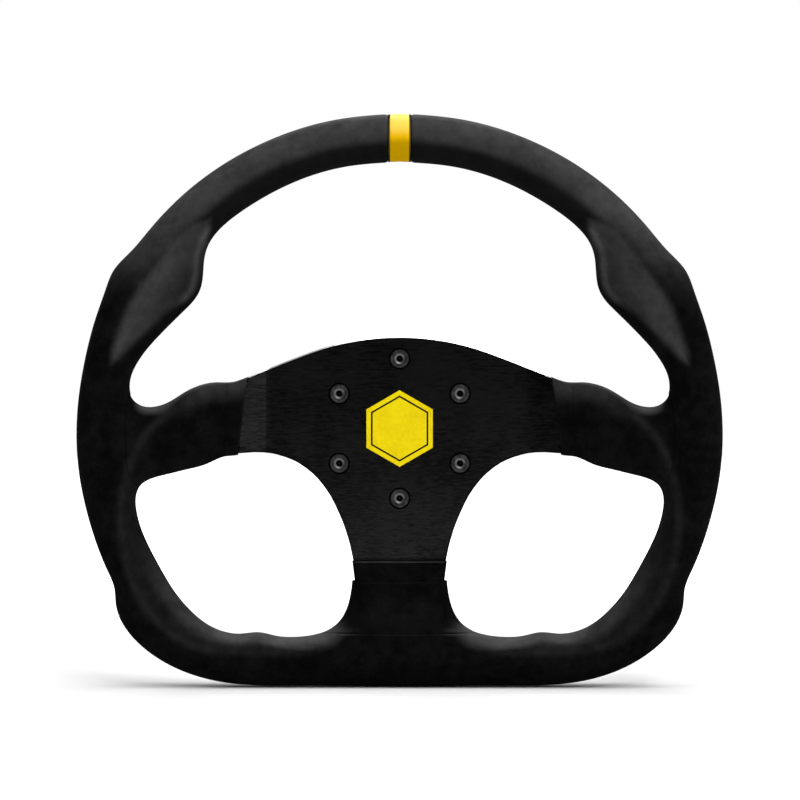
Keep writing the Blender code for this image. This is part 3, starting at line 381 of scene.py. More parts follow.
def make_piece(name, grid, finish, stands_for=(), body="wheel", close_rows=False, marks=None, crisp=None):
    """One closed piece from a grid of points in mm, [row, column around a loop]. Each end row that isn't joined to
    the other is closed by a fan of triangles to its middle. marks are named values for each grid point."""
    rows, columns = grid.shape[:2]
    points = grid.reshape(-1, 3) * MM
    faces = grid_faces(rows, columns, close_rows)
    triangles = np.zeros((0, 3), int)
    if not close_rows:
        ends = np.stack([grid[0].mean(0), grid[-1].mean(0)]) * MM
        points = np.vstack([points, ends])
        column = np.arange(columns)
        beside = (column + 1) % columns
        last = (rows - 1) * columns
        first_fan = np.stack([column, beside, np.full(columns, rows * columns)], 1)
        last_fan = np.stack([last + beside, last + column, np.full(columns, rows * columns + 1)], 1)
        triangles = np.vstack([first_fan, last_fan])
    turned = outward(points, faces)
    if turned is not faces:
        triangles = triangles[:, ::-1]
    mesh = bpy.data.meshes.new(name)
    mesh.from_pydata(points.tolist(), [], turned.tolist() + triangles.tolist())
    mesh.polygons.foreach_set("use_smooth", np.ones(len(mesh.polygons), bool))
    if crisp is not None:
        mesh.set_sharp_from_angle(angle=math.radians(crisp))
    extra = len(points) - rows * columns
    for mark, values in (marks or {}).items():
        attribute = mesh.attributes.new(mark, "FLOAT", "POINT")
        padded = np.concatenate([values.reshape(-1), np.zeros(extra)])
        attribute.data.foreach_set("value", padded.astype(np.float32))
    mesh.update()
    piece = put_in(name, mesh)
    mesh.materials.append(finish)
    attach(piece, body)
    if stands_for:
        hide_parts(*stands_for)
    return piece


def suede_grid(points, seams=(), creases=(), hem=None, sunk=0.0):
    """The closed loops of a suede panel over points [station, across]: over the front, then back along the rear.
    The surface sinks towards each seam, and less towards each crease, by a parabola of the distance to it, and
    turns over at the hem by a quarter circle."""
    middle, front, back, nap_and_top_light, ridge, painted_shade = grip_surface(points)
    folded = np.stack([np.abs(points[..., 0]), points[..., 1]], -1)
    dip = np.zeros(points.shape[:2])
    for line, deep in [(line, SEAM_DIP) for line in seams] + [(line, CREASE_DIP) for line in creases]:
        gap, _ = nearest_on(line, folded)
        dip = np.maximum(dip, deep * (1 - np.clip(gap / SEAM_WIDTH, 0, 1)) ** 2)
    if hem is not None:
        gap, _ = nearest_on(np.array(hem, float), folded)
        # painted highlight along the hem's edge
        ridge = np.maximum(ridge, 1 - np.clip(gap / HEM_EDGE, 0, 1))
        dip = np.maximum(dip, HEM_EDGE * (1 - round_over(gap, HEM_EDGE)))
    front = np.maximum(front - dip - sunk, EDGE_LEAST)
    back = np.maximum(back - dip - sunk, EDGE_LEAST)
    over = np.stack([points[..., 0], -(middle + front), points[..., 1]], -1)
    under = np.stack([points[..., 0], -(middle - back), points[..., 1]], -1)
    grid = np.concatenate([over, under[:, ::-1]], 1)
    # painted top light: paler wherever the loops face up
    upward = facing_up(grid)
    none = np.zeros_like(nap_and_top_light)
    # the marks carry painted light: top light and sheen with the rubbed nap, highlights along ridges and the hem, and
    # painted shade where the nap lies flat and in the dips
    marks = {
        "nap_and_top_light": np.maximum(np.concatenate([nap_and_top_light, none], 1), upward),
        "ridge": np.concatenate([ridge, none], 1),
        "painted_shade": np.concatenate([painted_shade, painted_shade[:, ::-1]], 1),
        # painted shade: darker in proportion to how deep the surface dips at seams, creases and the hem's turn
        "seam": np.concatenate([dip, dip[:, ::-1]], 1) / SEAM_DIP,
    }
    return grid, marks


def facing_up(grid):
    """How much each point of a grid of loops faces up: the upward part of the unit normal, which is the cross
    product of the steps along the rows and around the loop, turned to point away from the loop's middle."""
    along = np.gradient(grid, axis=0)
    around = (np.roll(grid, -1, axis=1) - np.roll(grid, 1, axis=1)) / 2
    normal = unit(np.cross(along, around))
    away = grid - grid.mean(1, keepdims=True)
    turn = np.sign((normal * away).sum((0, 1, 2)))
    return ease(normal[..., 2] * turn, 0.6, 1.0)


def zigzag(first, second, pitch):
    """A thread that goes to and fro between two lines, a stitch each pitch mm: a triangle wave from one line to the
    other, rounded at its turns by a sine, that also rises out of the surface between the turns."""
    middle = (first + second) / 2
    along = lengths_along(middle)
    stitches = int(along[-1] / pitch)
    at = np.linspace(0, along[-1], stitches * 6 + 1)
    wave = np.arcsin(0.97 * np.sin(np.pi * at / along[-1] * stitches)) / np.pi + 0.5
    one, other = read_at(first, at, along), read_at(second, at, along)
    path = one + (other - one) * wave[:, None]
    normal = unit(np.cross(np.gradient(middle, axis=0), second - first))
    return path, read_at(normal, at, along)


def tube(path_and_lift, radius, sides=5):
    """A round thread along a path: at each point a circle square to the way the path goes there."""
    path, lift = path_and_lift
    ahead = unit(np.gradient(path, axis=0))
    beside = unit(np.cross(ahead, lift))
    above = np.cross(beside, ahead)
    around = np.linspace(0, 2 * np.pi, sides, endpoint=False)[None, :, None]
    return path[:, None] + radius * (np.cos(around) * beside[:, None] + np.sin(around) * above[:, None])


def turned(profile, count, ripple=None):
    """A closed profile of (radius, distance forward) carried once around the hub's axis. ripple is added to the
    radius, point by point."""
    profile = np.array(profile, float)
    around = np.linspace(0, 2 * np.pi, count, endpoint=False)[:, None]
    radius = profile[:, 0] + (0 * around if ripple is None else ripple(profile, around))
    return np.stack([radius * np.sin(around), -profile[:, 1] + 0 * radius, radius * np.cos(around)], -1)


def filled_in(profile, step):
    """The profile with points added so that none are further than about step apart."""
    closed = np.array([*profile, profile[0]], float)
    pieces = [
        np.linspace(start, end, max(1, round(float(np.hypot(*(end - start))) / step)), endpoint=False)
        for start, end in zip(closed[:-1], closed[1:])
    ]
    return np.concatenate(pieces)


def spread(count):
    """Shares from 0 to 1 that lie closer together near both ends (half a cosine wave)."""
    return (1 - np.cos(np.linspace(0, np.pi, count))) / 2


def across(first, second, count):
    """Points from one edge to the other at each station, closer together near the edges."""
    return first[:, None] + (second - first)[:, None] * spread(count)[None, :, None]


def bowed(points, seam):
    """The stations bent so that the last one lies along a seam. The bend grows as the square of the way there."""
    bend = read_at(seam, lengths_along(seam)[-1] * spread(points.shape[1])) - points[-1]
    return points + bend[None] * (np.linspace(0, 1, len(points)) ** 2)[:, None, None]


def drawn_in(grid, from_edge, deep):
    """The grid of loops with those near an edge drawn in towards their middles by a quarter circle, by deep mm at
    the edge itself."""
    middle = grid.mean(1, keepdims=True)
    reach = np.linalg.norm(grid - middle, axis=-1).mean(1)
    shrink = 1 - deep / reach * (1 - round_over(np.maximum(from_edge, 0), 2.2))
    return middle + (grid - middle) * shrink[:, None, None]


# ---- materials
class Value:
    """A number in a shader, so that sums and products of numbers that vary over a surface read as Python."""

    def __init__(self, sheet, socket):
        self.sheet = sheet
        self.socket = socket

    def math(self, operation, first, second=0.0, third=0.0):
        node = self.sheet.add("ShaderNodeMath", {"operation": operation}, {0: first, 1: second, 2: third})
        return Value(self.sheet, node.outputs[0])

    def __add__(self, other):
        return self.math("ADD", self, other)

    __radd__ = __add__

    def __mul__(self, other):
        return self.math("MULTIPLY", self, other)

    __rmul__ = __mul__

    def __sub__(self, other):
        return self.math("SUBTRACT", self, other)

    def __rsub__(self, other):
        return self.math("SUBTRACT", other, self)

    def __pow__(self, other):
        return self.math("POWER", self, other)

    def most(self, other):
        return self.math("MAXIMUM", self, other)

    def step(self, low, high):
        """0 below low, 1 above high and smooth between."""
        node = self.sheet.add(
            "ShaderNodeMapRange",
            {"interpolation_type": "SMOOTHSTEP"},
            {"Value": self, "From Min": low, "From Max": high},
        )
        return Value(self.sheet, node.outputs[0])


class Sheet:
    """The node tree of one material or of the world."""

    def __init__(self, owner):
        self.owner = owner
        owner.use_nodes = True
        self.tree = owner.node_tree
        self.tree.nodes.clear()

    def add(self, kind, settings=None, inputs=None):
        node = self.tree.nodes.new(kind)
        for name, value in (settings or {}).items():
            setattr(node, name, value)
        for name, value in (inputs or {}).items():
            if isinstance(value, Value):
                value = value.socket
            if isinstance(value, bpy.types.NodeSocket):
                self.tree.links.new(value, node.inputs[name])
            else:
                node.inputs[name].default_value = value
        return node

    def place(self, kind="Object"):
        return self.add("ShaderNodeTexCoord").outputs[kind]

    def moved(self, scale):
        return self.add("ShaderNodeMapping", None, {"Vector": self.place(), "Scale": scale}).outputs[0]

    def parts(self, vector):
        """The three parts of a vector, each a Value."""
        return [Value(self, part) for part in self.add("ShaderNodeSeparateXYZ", None, {0: vector}).outputs]

    def seen(self):
        """1 in what the camera sees directly, and 0 in the light that falls on things."""
        return Value(self, self.add("ShaderNodeLightPath").outputs["Is Camera Ray"])

    def noise(self, vector, scale, detail, rough):
        inputs = {"Vector": vector, "Scale": scale, "Detail": detail, "Roughness": rough}
        return Value(self, self.add("ShaderNodeTexNoise", None, inputs).outputs[0])

    def mark(self, name):
        node = self.add("ShaderNodeAttribute", {"attribute_name": name})
        return Value(self, node.outputs["Fac"])

    def blend(self, share, first, second):
        """The first colour where share is 0 and the second where it is 1. A colour is a tuple or a socket."""
        first, second = [(*colour, 1) if isinstance(colour, tuple) else colour for colour in (first, second)]
        return self.add("ShaderNodeMix", {"data_type": "RGBA"}, {0: share, 6: first, 7: second}).outputs[2]

    def bump(self, height, distance, strength):
        inputs = {"Height": height, "Distance": distance, "Strength": strength}
        return self.add("ShaderNodeBump", None, inputs).outputs[0]

    def finish(self, **inputs):
        """The material, with a shader whose inputs are given by name. Constants are set on it directly."""
        names = {name.replace("_", " ").title().replace("Ior", "IOR"): value for name, value in inputs.items()}
        shader = self.add("ShaderNodeBsdfPrincipled", None, names)
        self.add("ShaderNodeOutputMaterial", None, {"Surface": shader.outputs[0]})
        return self.owner


def suede(name, dark, light, nap_and_light_colour, shade_colour):
    """Napped leather: soft patches where the nap lies differently, short fibres, paler where it is rubbed up and where
    painted top light, sheen and highlights lie. The last colour is painted shade where the nap lies flat on the inner
    side of the rim and on the bottom spoke; seams, creases and the hem's turn get painted shade too."""
    sheet = Sheet(bpy.data.materials.new(name))
    place = sheet.place()
    patches = sheet.noise(place, 55, 4, 0.6)
    clouds = sheet.noise(place, 170, 4, 0.65)
    fibres = sheet.noise(sheet.moved((1, 1, 1.7)), 1500, 2, 0.7)
    specks = sheet.noise(place, 620, 2, 0.8).step(0.6, 0.78)
    mottle = (patches * 0.5 + clouds * 0.5).step(0.36, 0.66)
    # painted shade where the nap lies flat, over the random mottle
    base = sheet.blend(sheet.mark("painted_shade"), sheet.blend(mottle, dark, light), shade_colour)
    # painted top light, sheen and ridge highlights, mixed with the rubbed nap
    nap = sheet.mark("nap_and_top_light") * (clouds + patches * 0.9) + sheet.mark("ridge") * (0.02 + clouds * 0.14)
    base = sheet.blend(nap.math("MINIMUM", nap.most(0), 1), base, nap_and_light_colour)
    base = sheet.blend(specks * 0.05, base, nap_and_light_colour)
    # painted shade in the dips of seams, creases and the hem
    base = sheet.blend(sheet.mark("seam") * 0.35, base, tuple(0.3 * part for part in dark))
    relief = fibres * 0.6 + clouds * 0.8 + patches * 0.8
    return sheet.finish(
        base_color=base,
        roughness=0.9 + fibres * 0.1,
        specular_ior_level=0.0,
        sheen_weight=0.012,
        sheen_roughness=0.4,
        sheen_tint=(1, 1, 1, 1),
        normal=sheet.bump(relief, 0.0004, 0.6),
    )


def screw_gap_shade(sheet):
    """1 in the painted shade in the gaps round the heads of six screws evenly spaced on a circle: the angle is folded
    into a sixth of a turn, which leaves one screw, and what counts is the distance from it."""
    x, _, z = sheet.parts(sheet.place())
    angle = x.math("ARCTAN2", x, z)
    sixth = math.pi / 3
    folded = angle.math("WRAP", angle, sixth / 2, -sixth / 2)
    reach = (x * x + z * z) ** 0.5
    sideways = reach * folded.math("SINE", folded)
    along = reach * folded.math("COSINE", folded) - SCREW_CIRCLE * MM
    distance = (sideways * sideways + along * along) ** 0.5
    return distance.step(4.75 * MM, 4.95 * MM) * (1 - distance.step(5.25 * MM, 5.5 * MM))


def brushed_metal(name, colour, streak_colour, rough, top_edge_highlight):
    """Anodised metal with a grain along X: streaks that are long along the brushing and very thin across it. Its edges
    get a painted highlight, another colour, where they face up, and painted shade, dull and dark, where they face down
    or sideways; the gaps round the screw heads get painted shade too."""
    sheet = Sheet(bpy.data.materials.new(name))
    streaks = sheet.noise(sheet.moved((110, 110, 1000)), 1, 3, 0.6)
    scratches = sheet.noise(sheet.moved((260, 260, 2100)), 1, 2, 0.7)
    clouds = sheet.noise(sheet.place(), 28, 4, 0.6)
    share = (streaks * 0.3 + scratches * 0.45 + clouds * 0.35).step(0.47, 0.6)
    base = sheet.blend(share, colour, streak_colour)
    sideways, _, up = sheet.parts(sheet.add("ShaderNodeNewGeometry").outputs["True Normal"])
    # painted shade: faces turned down or sideways are dark and dull
    shaded = sideways.most(0 - sideways).most(0 - up).step(0.35, 0.6)
    base = sheet.blend(shaded, base, grey(0.0005))
    # painted highlight on the edges that face up
    base = sheet.blend(up.step(0.3, 0.6), base, top_edge_highlight)
    # painted shade in the gaps round the screw heads
    base = sheet.blend(screw_gap_shade(sheet), base, grey(0.0003))
    return sheet.finish(
        base_color=base,
        metallic=1 - shaded,
        specular_ior_level=0.0,
        roughness=rough + streaks * 0.1 - 0.05,
        normal=sheet.bump(streaks * 0.5 + scratches * 0.5, 0.00002, 0.25),
    )


def metal(name, colour, worn, rough):
    """Machined or plated metal: a slight cloudiness over a fine grain."""
    sheet = Sheet(bpy.data.materials.new(name))
    clouds = sheet.noise(sheet.place(), 90, 4, 0.6)
    fine = sheet.noise(sheet.place(), 900, 3, 0.6)
    base = sheet.blend((clouds * 0.6 + fine * 0.4).step(0.4, 0.7), colour, worn)
    return sheet.finish(
        base_color=base,
        metallic=1.0,
        roughness=rough + clouds * 0.16 - 0.08,
        normal=sheet.bump(fine, 0.00002, 0.3),
    )


def screw_metal(name, colour, worn):
    """Blackened steel, with painted shade, nearly black, in the socket and at the rim of the head, and a painted
    highlight on the key's bevel.
    """
    sheet = Sheet(bpy.data.materials.new(name))
    clouds = sheet.noise(sheet.place(), 400, 4, 0.6)
    base = sheet.blend(clouds.step(0.4, 0.65), colour, worn)
    # painted highlight on the key's bevel
    base = sheet.blend(sheet.mark("key_bevel_highlight"), base, grey(0.12))
    # painted shade in the socket and at the rim of the head
    base = sheet.blend(sheet.mark("socket"), base, grey(0.001))
    return sheet.finish(
        base_color=base,
        metallic=1.0,
        roughness=0.3 + clouds * 0.2,
        normal=sheet.bump(clouds, 0.00002, 0.3),
    )


def plain_coat(name, colour, shade, rough, grain, relief):
    """Paint, foam or thread: a colour that varies a little, over a fine grain."""
    sheet = Sheet(bpy.data.materials.new(name))
    clouds = sheet.noise(sheet.place(), 120, 3, 0.6)
    fine = sheet.noise(sheet.place(), grain, 2, 0.6)
    base = sheet.blend((clouds * 0.5 + fine * 0.5).step(0.35, 0.7), colour, shade)
    return sheet.finish(
        base_color=base,
        roughness=rough + fine * 0.1,
        specular_ior_level=0.1,
        normal=sheet.bump(fine, relief, 0.5),
    )


def grey(value):
    return (value, value, value)


# ---- settings
def colour_setting(name, description, default):
    return FloatVectorProperty(name=name, description=description, subtype="COLOR", default=default)


def length_setting(name, description, default):
    return FloatProperty(name=name, description=description, unit="LENGTH", default=default)


class WheelGripSettings(bpy.types.PropertyGroup):
    """Sizes and colours of the grip"""

    stations: IntProperty(name="Stations", description="Sections along half of the rim", default=470, min=60)
    points_across: IntProperty(name="Points across", description="Points on one face of a section", default=36, min=8)
    suede_dark: colour_setting("Suede", "Colour of the flat nap", grey(0.0022))
    suede_light: colour_setting("Raised suede", "Colour of the raised nap", grey(0.0056))
    # also the colour of the painted top light, sheen and highlights on the grip
    suede_nap_and_light: colour_setting("Brushed suede", "Colour where hands brush the nap up", grey(0.082))
    marker_colour: colour_setting("Marker", "Colour of the band at the top", (0.85, 0.49, 0.001))


class WheelMetalSettings(bpy.types.PropertyGroup):
    """Sizes and colours of the plate, the screws and the hub"""

    plate_colour: colour_setting("Plate", "Colour of the anodised plate", grey(0.0085))
    badge_colour: colour_setting("Badge", "Colour of the badge", (0.88, 0.7, 0.0))
    badge_radius: length_setting("Badge radius", "Centre to corner of the badge", 0.0192)
    knurl_depth: length_setting("Knurl depth", "Depth of the collar's knurling", 0.0004)


class WheelStageSettings(bpy.types.PropertyGroup):
    """The camera and the light around the wheel"""

    camera_distance: length_setting("Camera distance", "From the camera to the rim", 1.5)
    frame_width: length_setting("Frame width", "Width of the view at the rim", 0.3963)
    show_floor: BoolProperty(name="Floor", description="Put the wheel on a pale floor", default=True)


# ---- pieces
def suede_finish(settings):
    """The black suede, made once and shared by all that is covered in it."""
    dark, light, nap_and_top_light = [tuple(part) for part in (settings.suede_dark, settings.suede_light, settings.suede_nap_and_light)]
    made = bpy.data.materials.get("black suede")
    # the last colour is the painted shade, six tenths of the flat nap
    return made or suede("black suede", dark, light, nap_and_top_light, tuple(0.6 * part for part in dark))


def thread_finish():
    made = bpy.data.materials.get("black thread")
    return made or plain_coat("black thread", grey(0.004), grey(0.014), 0.7, 3000, 0.0001)


class WHEEL_OT_rim(bpy.types.Operator):
    """Make the suede panel that covers the rim"""

    bl_idname = "wheel.rim"
    bl_label = "Rim panel"

    def execute(self, context):
        settings = context.scene.wheel_grip
        # The panel's inner edge follows the windows, and the seams where the spokes come in.
        inner = np.vstack(
            [
                stretch(UPPER_LINE, UPPER_WINDOW[0], SIDE_SEAM[0], 300),
                SIDE_SEAM_LINE[1:-1],
                stretch(LOWER_LINE, SIDE_SEAM[-1], BOTTOM_SEAM[0], 300),
                BOTTOM_SEAM_LINE[1:],
            ]
        )
        begin = ((MARKER_HALF, 156.1), (MARKER_HALF, 132.1))
        stations = [begin, *RIM_STATIONS, (OUTER_EDGE[-1], BOTTOM_SEAM[-1])]
        outer_at = [length_at(OUTER_LINE, first) for first, _ in stations]
        inner_at = [length_at(inner, second) for _, second in stations]
        # Stations are closer together in the 3 mm where the panel turns in beside the marker.
        close = np.linspace(0, 3, 14)[:-1]
        lengths = outer_at[0] + np.concatenate([close, np.linspace(3, outer_at[-1] - outer_at[0], settings.stations)])
        first = read_at(OUTER_LINE, lengths)
        second = read_at(inner, np.interp(lengths, outer_at, inner_at))
        first[0, 0] = second[0, 0] = MARKER_HALF
        first[-1, 0] = second[-1, 0] = 0
        right = across(first, second, settings.points_across)
        points = np.concatenate([right, right[::-1][1:] * MIRROR])
        marker_line = np.array([(MARKER_HALF, 100.0), (MARKER_HALF, 160.0)])
        grid, marks = suede_grid(points, (SIDE_SEAM_LINE, BOTTOM_SEAM_LINE, marker_line))
        far = 9
        from_end = np.where(grid[..., 2].mean(1) > 0, np.abs(grid[..., 0]).min(1) - MARKER_HALF, far)
        grid = drawn_in(grid, from_end, 1.3)
        rim = make_piece("rim_panel", grid, suede_finish(settings), ("rim_suede", "grip_core"), marks=marks)
        inner_loop, outer_loop = [grid[6:-6, -round(share * settings.points_across)] for share in LACING_BETWEEN]
        path = zigzag(inner_loop, outer_loop, LACING_PITCH)
        make_piece("rim_lacing", tube(path, LACING_THREAD), thread_finish())
        return {"FINISHED"}


def side_edges(top_from, top_to, bottom_from, bottom_to, count):
    """The top and the bottom edge of a length of side spoke cover, point by point."""
    return stretch(UPPER_LINE, top_from, top_to, count), stretch(LOWER_LINE, bottom_from, bottom_to, count)


class WHEEL_OT_covers(bpy.types.Operator):
    """Make the suede covers of the three spokes and their turned hems"""

    bl_idname = "wheel.covers"
    bl_label = "Spoke covers"

    def execute(self, context):
        for side, flip in (("right", 1), ("left", MIRROR)):
            top, bottom = side_edges(SIDE_CREASE[0], SIDE_SEAM[0], SIDE_CREASE[1], SIDE_SEAM[-1], 90)
            cover = bowed(across(top, bottom, 40), SIDE_SEAM_LINE)
            top, bottom = side_edges(SIDE_HEM[0], SIDE_CREASE[0], SIDE_HEM[1], SIDE_CREASE[1], 26)
            hem = across(top, bottom, 40)
            self.spoke(side, cover * flip, hem * flip, SIDE_SEAM_LINE, SIDE_CREASE, SIDE_HEM)
        edge = stretch(LOWER_LINE, (23.8, BOTTOM_CREASE_Z), BOTTOM_SEAM[0], 70)
        seam = np.vstack([BOTTOM_SEAM_LINE, BOTTOM_SEAM_LINE[::-1][1:] * MIRROR])
        cover = bowed(across(edge, edge * MIRROR, 60), seam)
        edge = np.stack([np.linspace(23.8, 22.4, 24), np.linspace(BOTTOM_HEM_Z, BOTTOM_CREASE_Z, 24)], 1)
        hem = across(edge, edge * MIRROR, 60)
        crease_line, hem_line = [((0, height), (40, height)) for height in (BOTTOM_CREASE_Z, BOTTOM_HEM_Z)]
        self.spoke("bottom", cover, hem, BOTTOM_SEAM_LINE, crease_line, hem_line)
        return {"FINISHED"}

    def spoke(self, side, cover, hem, seam_line, crease_line, hem_line):
        """One spoke's cover, which ends at the crease, and its hem from there to the free end."""
        finish = suede_finish(bpy.context.scene.wheel_grip)
        crease = np.array(crease_line, float)
        grid, marks = suede_grid(cover, (seam_line,), (crease,))
        make_piece(f"{side}_spoke_cover", grid, finish, (f"{side}_spoke_suede",), marks=marks)
        grid, marks = suede_grid(hem, (), (crease,), hem_line)
        make_piece(f"{side}_spoke_hem", grid, finish, (f"{side}_spoke_band",), marks=marks)


class WHEEL_OT_marker(bpy.types.Operator):
    """Make the bright band let into the top of the rim"""

    bl_idname = "wheel.marker"
    bl_label = "Top marker"

    def execute(self, context):
        colour = tuple(context.scene.wheel_grip.marker_colour)
        # painted shade on the band's lower, inner half; the third colour below is its painted sheen and top light
        shaded = (0.52, 0.3, 0.001)
        finish = suede("marker suede", colour, tuple(0.95 * part for part in colour), (0.92, 0.72, 0.2), shaded)
        half = MARKER_HALF - MARKER_GAP
        x = half * np.sin(np.linspace(-np.pi / 2, np.pi / 2, 30))
        outer, inner = [np.stack([x, np.interp(np.abs(x), *line[:40].T)], 1) for line in (OUTER_LINE, UPPER_LINE)]
        # The band is the rim's own surface, sunk, and drawn in towards its middle by as much.
        centre = (outer + inner) / 2
        shrink = 1 - 2 * MARKER_RECESS / 24
        points = across(centre + (outer - centre) * shrink, centre + (inner - centre) * shrink, 40)
        grid, marks = suede_grid(centre[:, None] + (points - centre[:, None]) / shrink, sunk=MARKER_RECESS)
        grid[..., [0, 2]] = np.concatenate([points, points[:, ::-1]], 1)
        # painted top light and sheen: paler where the band faces up and towards its top
        marks["nap_and_top_light"] = facing_up(grid) * 0.5 + 0.45 * ease(grid[..., 2], 143, 149)
        marks["ridge"] = 0 * marks["ridge"]
        grid = drawn_in(grid, half - np.abs(x), 0.9)
        for side, row, sign in (("right", -6, 1), ("left", 5, -1)):
            loop = np.vstack([grid[row], grid[row, :1]])
            path = zigzag(loop, loop + np.array([sign, 0, 0]), MARKER_PITCH)
            make_piece(f"marker_stitch_{side}", tube(path, MARKER_THREAD), thread_finish())
        make_piece("marker_band", grid, finish, ("top_marker",), marks=marks)
        return {"FINISHED"}


class WHEEL_OT_plate(bpy.types.Operator):
    """Give the spoke plate, the screws and the inner metal their finishes"""

    bl_idname = "wheel.plate"
    bl_label = "Plate and screws"

    def execute(self, context):
        colour = tuple(context.scene.wheel_metal.plate_colour)
        # grey(0.75) is the painted highlight on the plate's up-facing edges
        plate = brushed_metal("black anodised plate", colour, tuple(2.4 * part for part in colour), 0.17, grey(0.75))
        self.screws(screw_metal("dark screw steel", grey(0.03), grey(0.06)))
        dress("spoke_plate", plate)
        bare = metal("bare aluminium", grey(0.55), grey(0.7), 0.45)
        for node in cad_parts:
            if node == "rim_armature" or "_rivet_" in node:
                dress(node, bare)
        return {"FINISHED"}

    def screws(self, finish):
        """Countersunk screws: a profile turned about the axis, whose first rows are a hexagon, not a circle."""
        around = np.linspace(0, 2 * np.pi, 48, endpoint=False)
        hexagon = 1 / np.cos(np.mod(around, np.pi / 3) - np.pi / 6)
        reach, forward, six_sided = np.array(SCREW_PROFILE).T[..., None] + 0 * around
        radius = reach * np.where(six_sided > 0, hexagon, 1)
        # painted shade in the socket and at the head's rim, and a painted highlight on the key's bevel
        marks = {
            "socket": (reach < SCREW_SOCKET) | (reach > SCREW_RIM),
            "key_bevel_highlight": (reach > SCREW_SOCKET) & (reach < SCREW_BEVEL) & (forward > 45),
        }
        for number in range(6):
            angle = number * np.pi / 3
            x = SCREW_CIRCLE * np.sin(angle) + radius * np.cos(around)
            z = SCREW_CIRCLE * np.cos(angle) + radius * np.sin(around)
            grid = np.stack([x, -forward, z], -1)
            node = f"plate_screw_{number + 1}"
            make_piece(f"screw_{number + 1}", grid, finish, (node,), marks=marks, crisp=28)


def dress(node, finish):
    """Puts one finish in every slot of a frame node."""
    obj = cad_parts[node]
    for slot in obj.material_slots:
        slot.material = finish
    if not obj.material_slots:
        obj.data.materials.append(finish)


class WHEEL_OT_badge(bpy.types.Operator):
    """Make the plain hexagonal badge at the middle of the plate"""

    bl_idname = "wheel.badge"
    bl_label = "Badge"

    def execute(self, context):
        settings = context.scene.wheel_metal
        paint = plain_coat("badge paint", tuple(settings.badge_colour), (0.8, 0.6, 0.0), 0.45, 700, 0.00002)
        low = PLATE_FRONT + BADGE_LIFT
        high = low + BADGE_THICK
        outer = settings.badge_radius / MM
        inner = outer - BADGE_FRAME
        middle = inner - BADGE_LINE
        for name, rings in (
            ("badge_frame", [(outer, low), (outer, high), (inner, high), (inner, low)]),
            ("badge_middle", [(middle, low), (middle, high)]),
        ):
            grid = turned(rings, 6).swapaxes(0, 1)
            make_piece(name, grid, paint, close_rows=len(rings) > 2, crisp=30)
        return {"FINISHED"}


class WHEEL_OT_hub(bpy.types.Operator):
    """Finish the quick release hub behind the plate"""

    bl_idname = "wheel.hub"
    bl_label = "Quick release hub"

    def execute(self, context):
        black = metal("hub anodising", grey(0.015), grey(0.035), 0.38)
        steel = metal("bright steel", grey(0.3), grey(0.46), 0.26)
        silver = metal("collar anodising", grey(0.24), grey(0.34), 0.32)
        wire = metal("oiled spring wire", grey(0.1), grey(0.2), 0.3)
        for node, finish in (("hub_flange", black), ("hub_socket", steel), ("collar_retaining_ring", steel)):
            dress(node, finish)
        self.collar(silver, context.scene.wheel_metal.knurl_depth / MM)
        self.spring(wire)
        self.balls(steel)
        return {"FINISHED"}

    def collar(self, finish, depth):
        """The collar's profile turned about the axis. The knurling sinks where two opposite sets of slanted
        grooves run, each a cosine of the angle plus or minus the distance along."""

        def knurl(profile, around):
            forward = profile[None, :, 1]
            on = (profile[None, :, 0] > 24.4) * ease(forward, 6.4, 7.2) * (1 - ease(forward, 15.8, 16.6))
            first = np.cos(KNURLS * around + KNURL_TWIST * forward)
            second = np.cos(KNURLS * around - KNURL_TWIST * forward)
            return -depth * on * (1 - np.maximum(0, first * 0.5 + second * 0.5 + 0.15))

        profile = filled_in(COLLAR_PROFILE, 0.55)
        rows = turned(profile, 560, knurl)
        make_piece(
            "knurled_collar", rows, finish, ("release_collar",), "collar", close_rows=True, crisp=40
        )

    def spring(self, finish):
        """Round wire wound five times about the axis, rising evenly, whose end turns lie flat."""
        radius, wire, turns, low, high = SPRING
        at = np.linspace(0, 1, turns * 56 + 1)
        angle = 2 * np.pi * turns * at
        share = np.clip((at * turns - 0.6) / (turns - 1.2), 0, 1)
        path = np.stack([radius * np.cos(angle), -(low + (high - low) * share), radius * np.sin(angle)], 1)
        outward_way = np.stack([np.cos(angle), 0 * angle, np.sin(angle)], 1)
        rows = tube((path, outward_way), wire, 12)
        piece = make_piece("spring_coil", rows, finish, ("release_spring",), crisp=50)
        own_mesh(piece)

    def balls(self, finish):
        """Six locking balls: circles of latitude about the line from the axis through each ball."""
        radius, reach, plane = LOCK_BALL
        latitude = np.linspace(0.02, np.pi - 0.02, 20)[:, None]
        around = np.linspace(0, 2 * np.pi, 28, endpoint=False)[None]
        level = np.sin(latitude)
        ball = radius * np.stack([level * np.cos(around), level * np.sin(around), np.cos(latitude) + 0 * around], -1)
        for number in range(6):
            angle = number * np.pi / 3
            outward_way = np.array([np.sin(angle), 0, np.cos(angle)])
            beside = np.array([np.cos(angle), 0, -np.sin(angle)])
            forward = np.array([0, -1, 0])
            rows = reach * outward_way + plane * forward + ball @ np.stack([beside, forward, outward_way])
            node = f"lock_ball_{number + 1}"
            make_piece(f"locking_ball_{number + 1}", rows, finish, (node,), f"ball_{number + 1}")


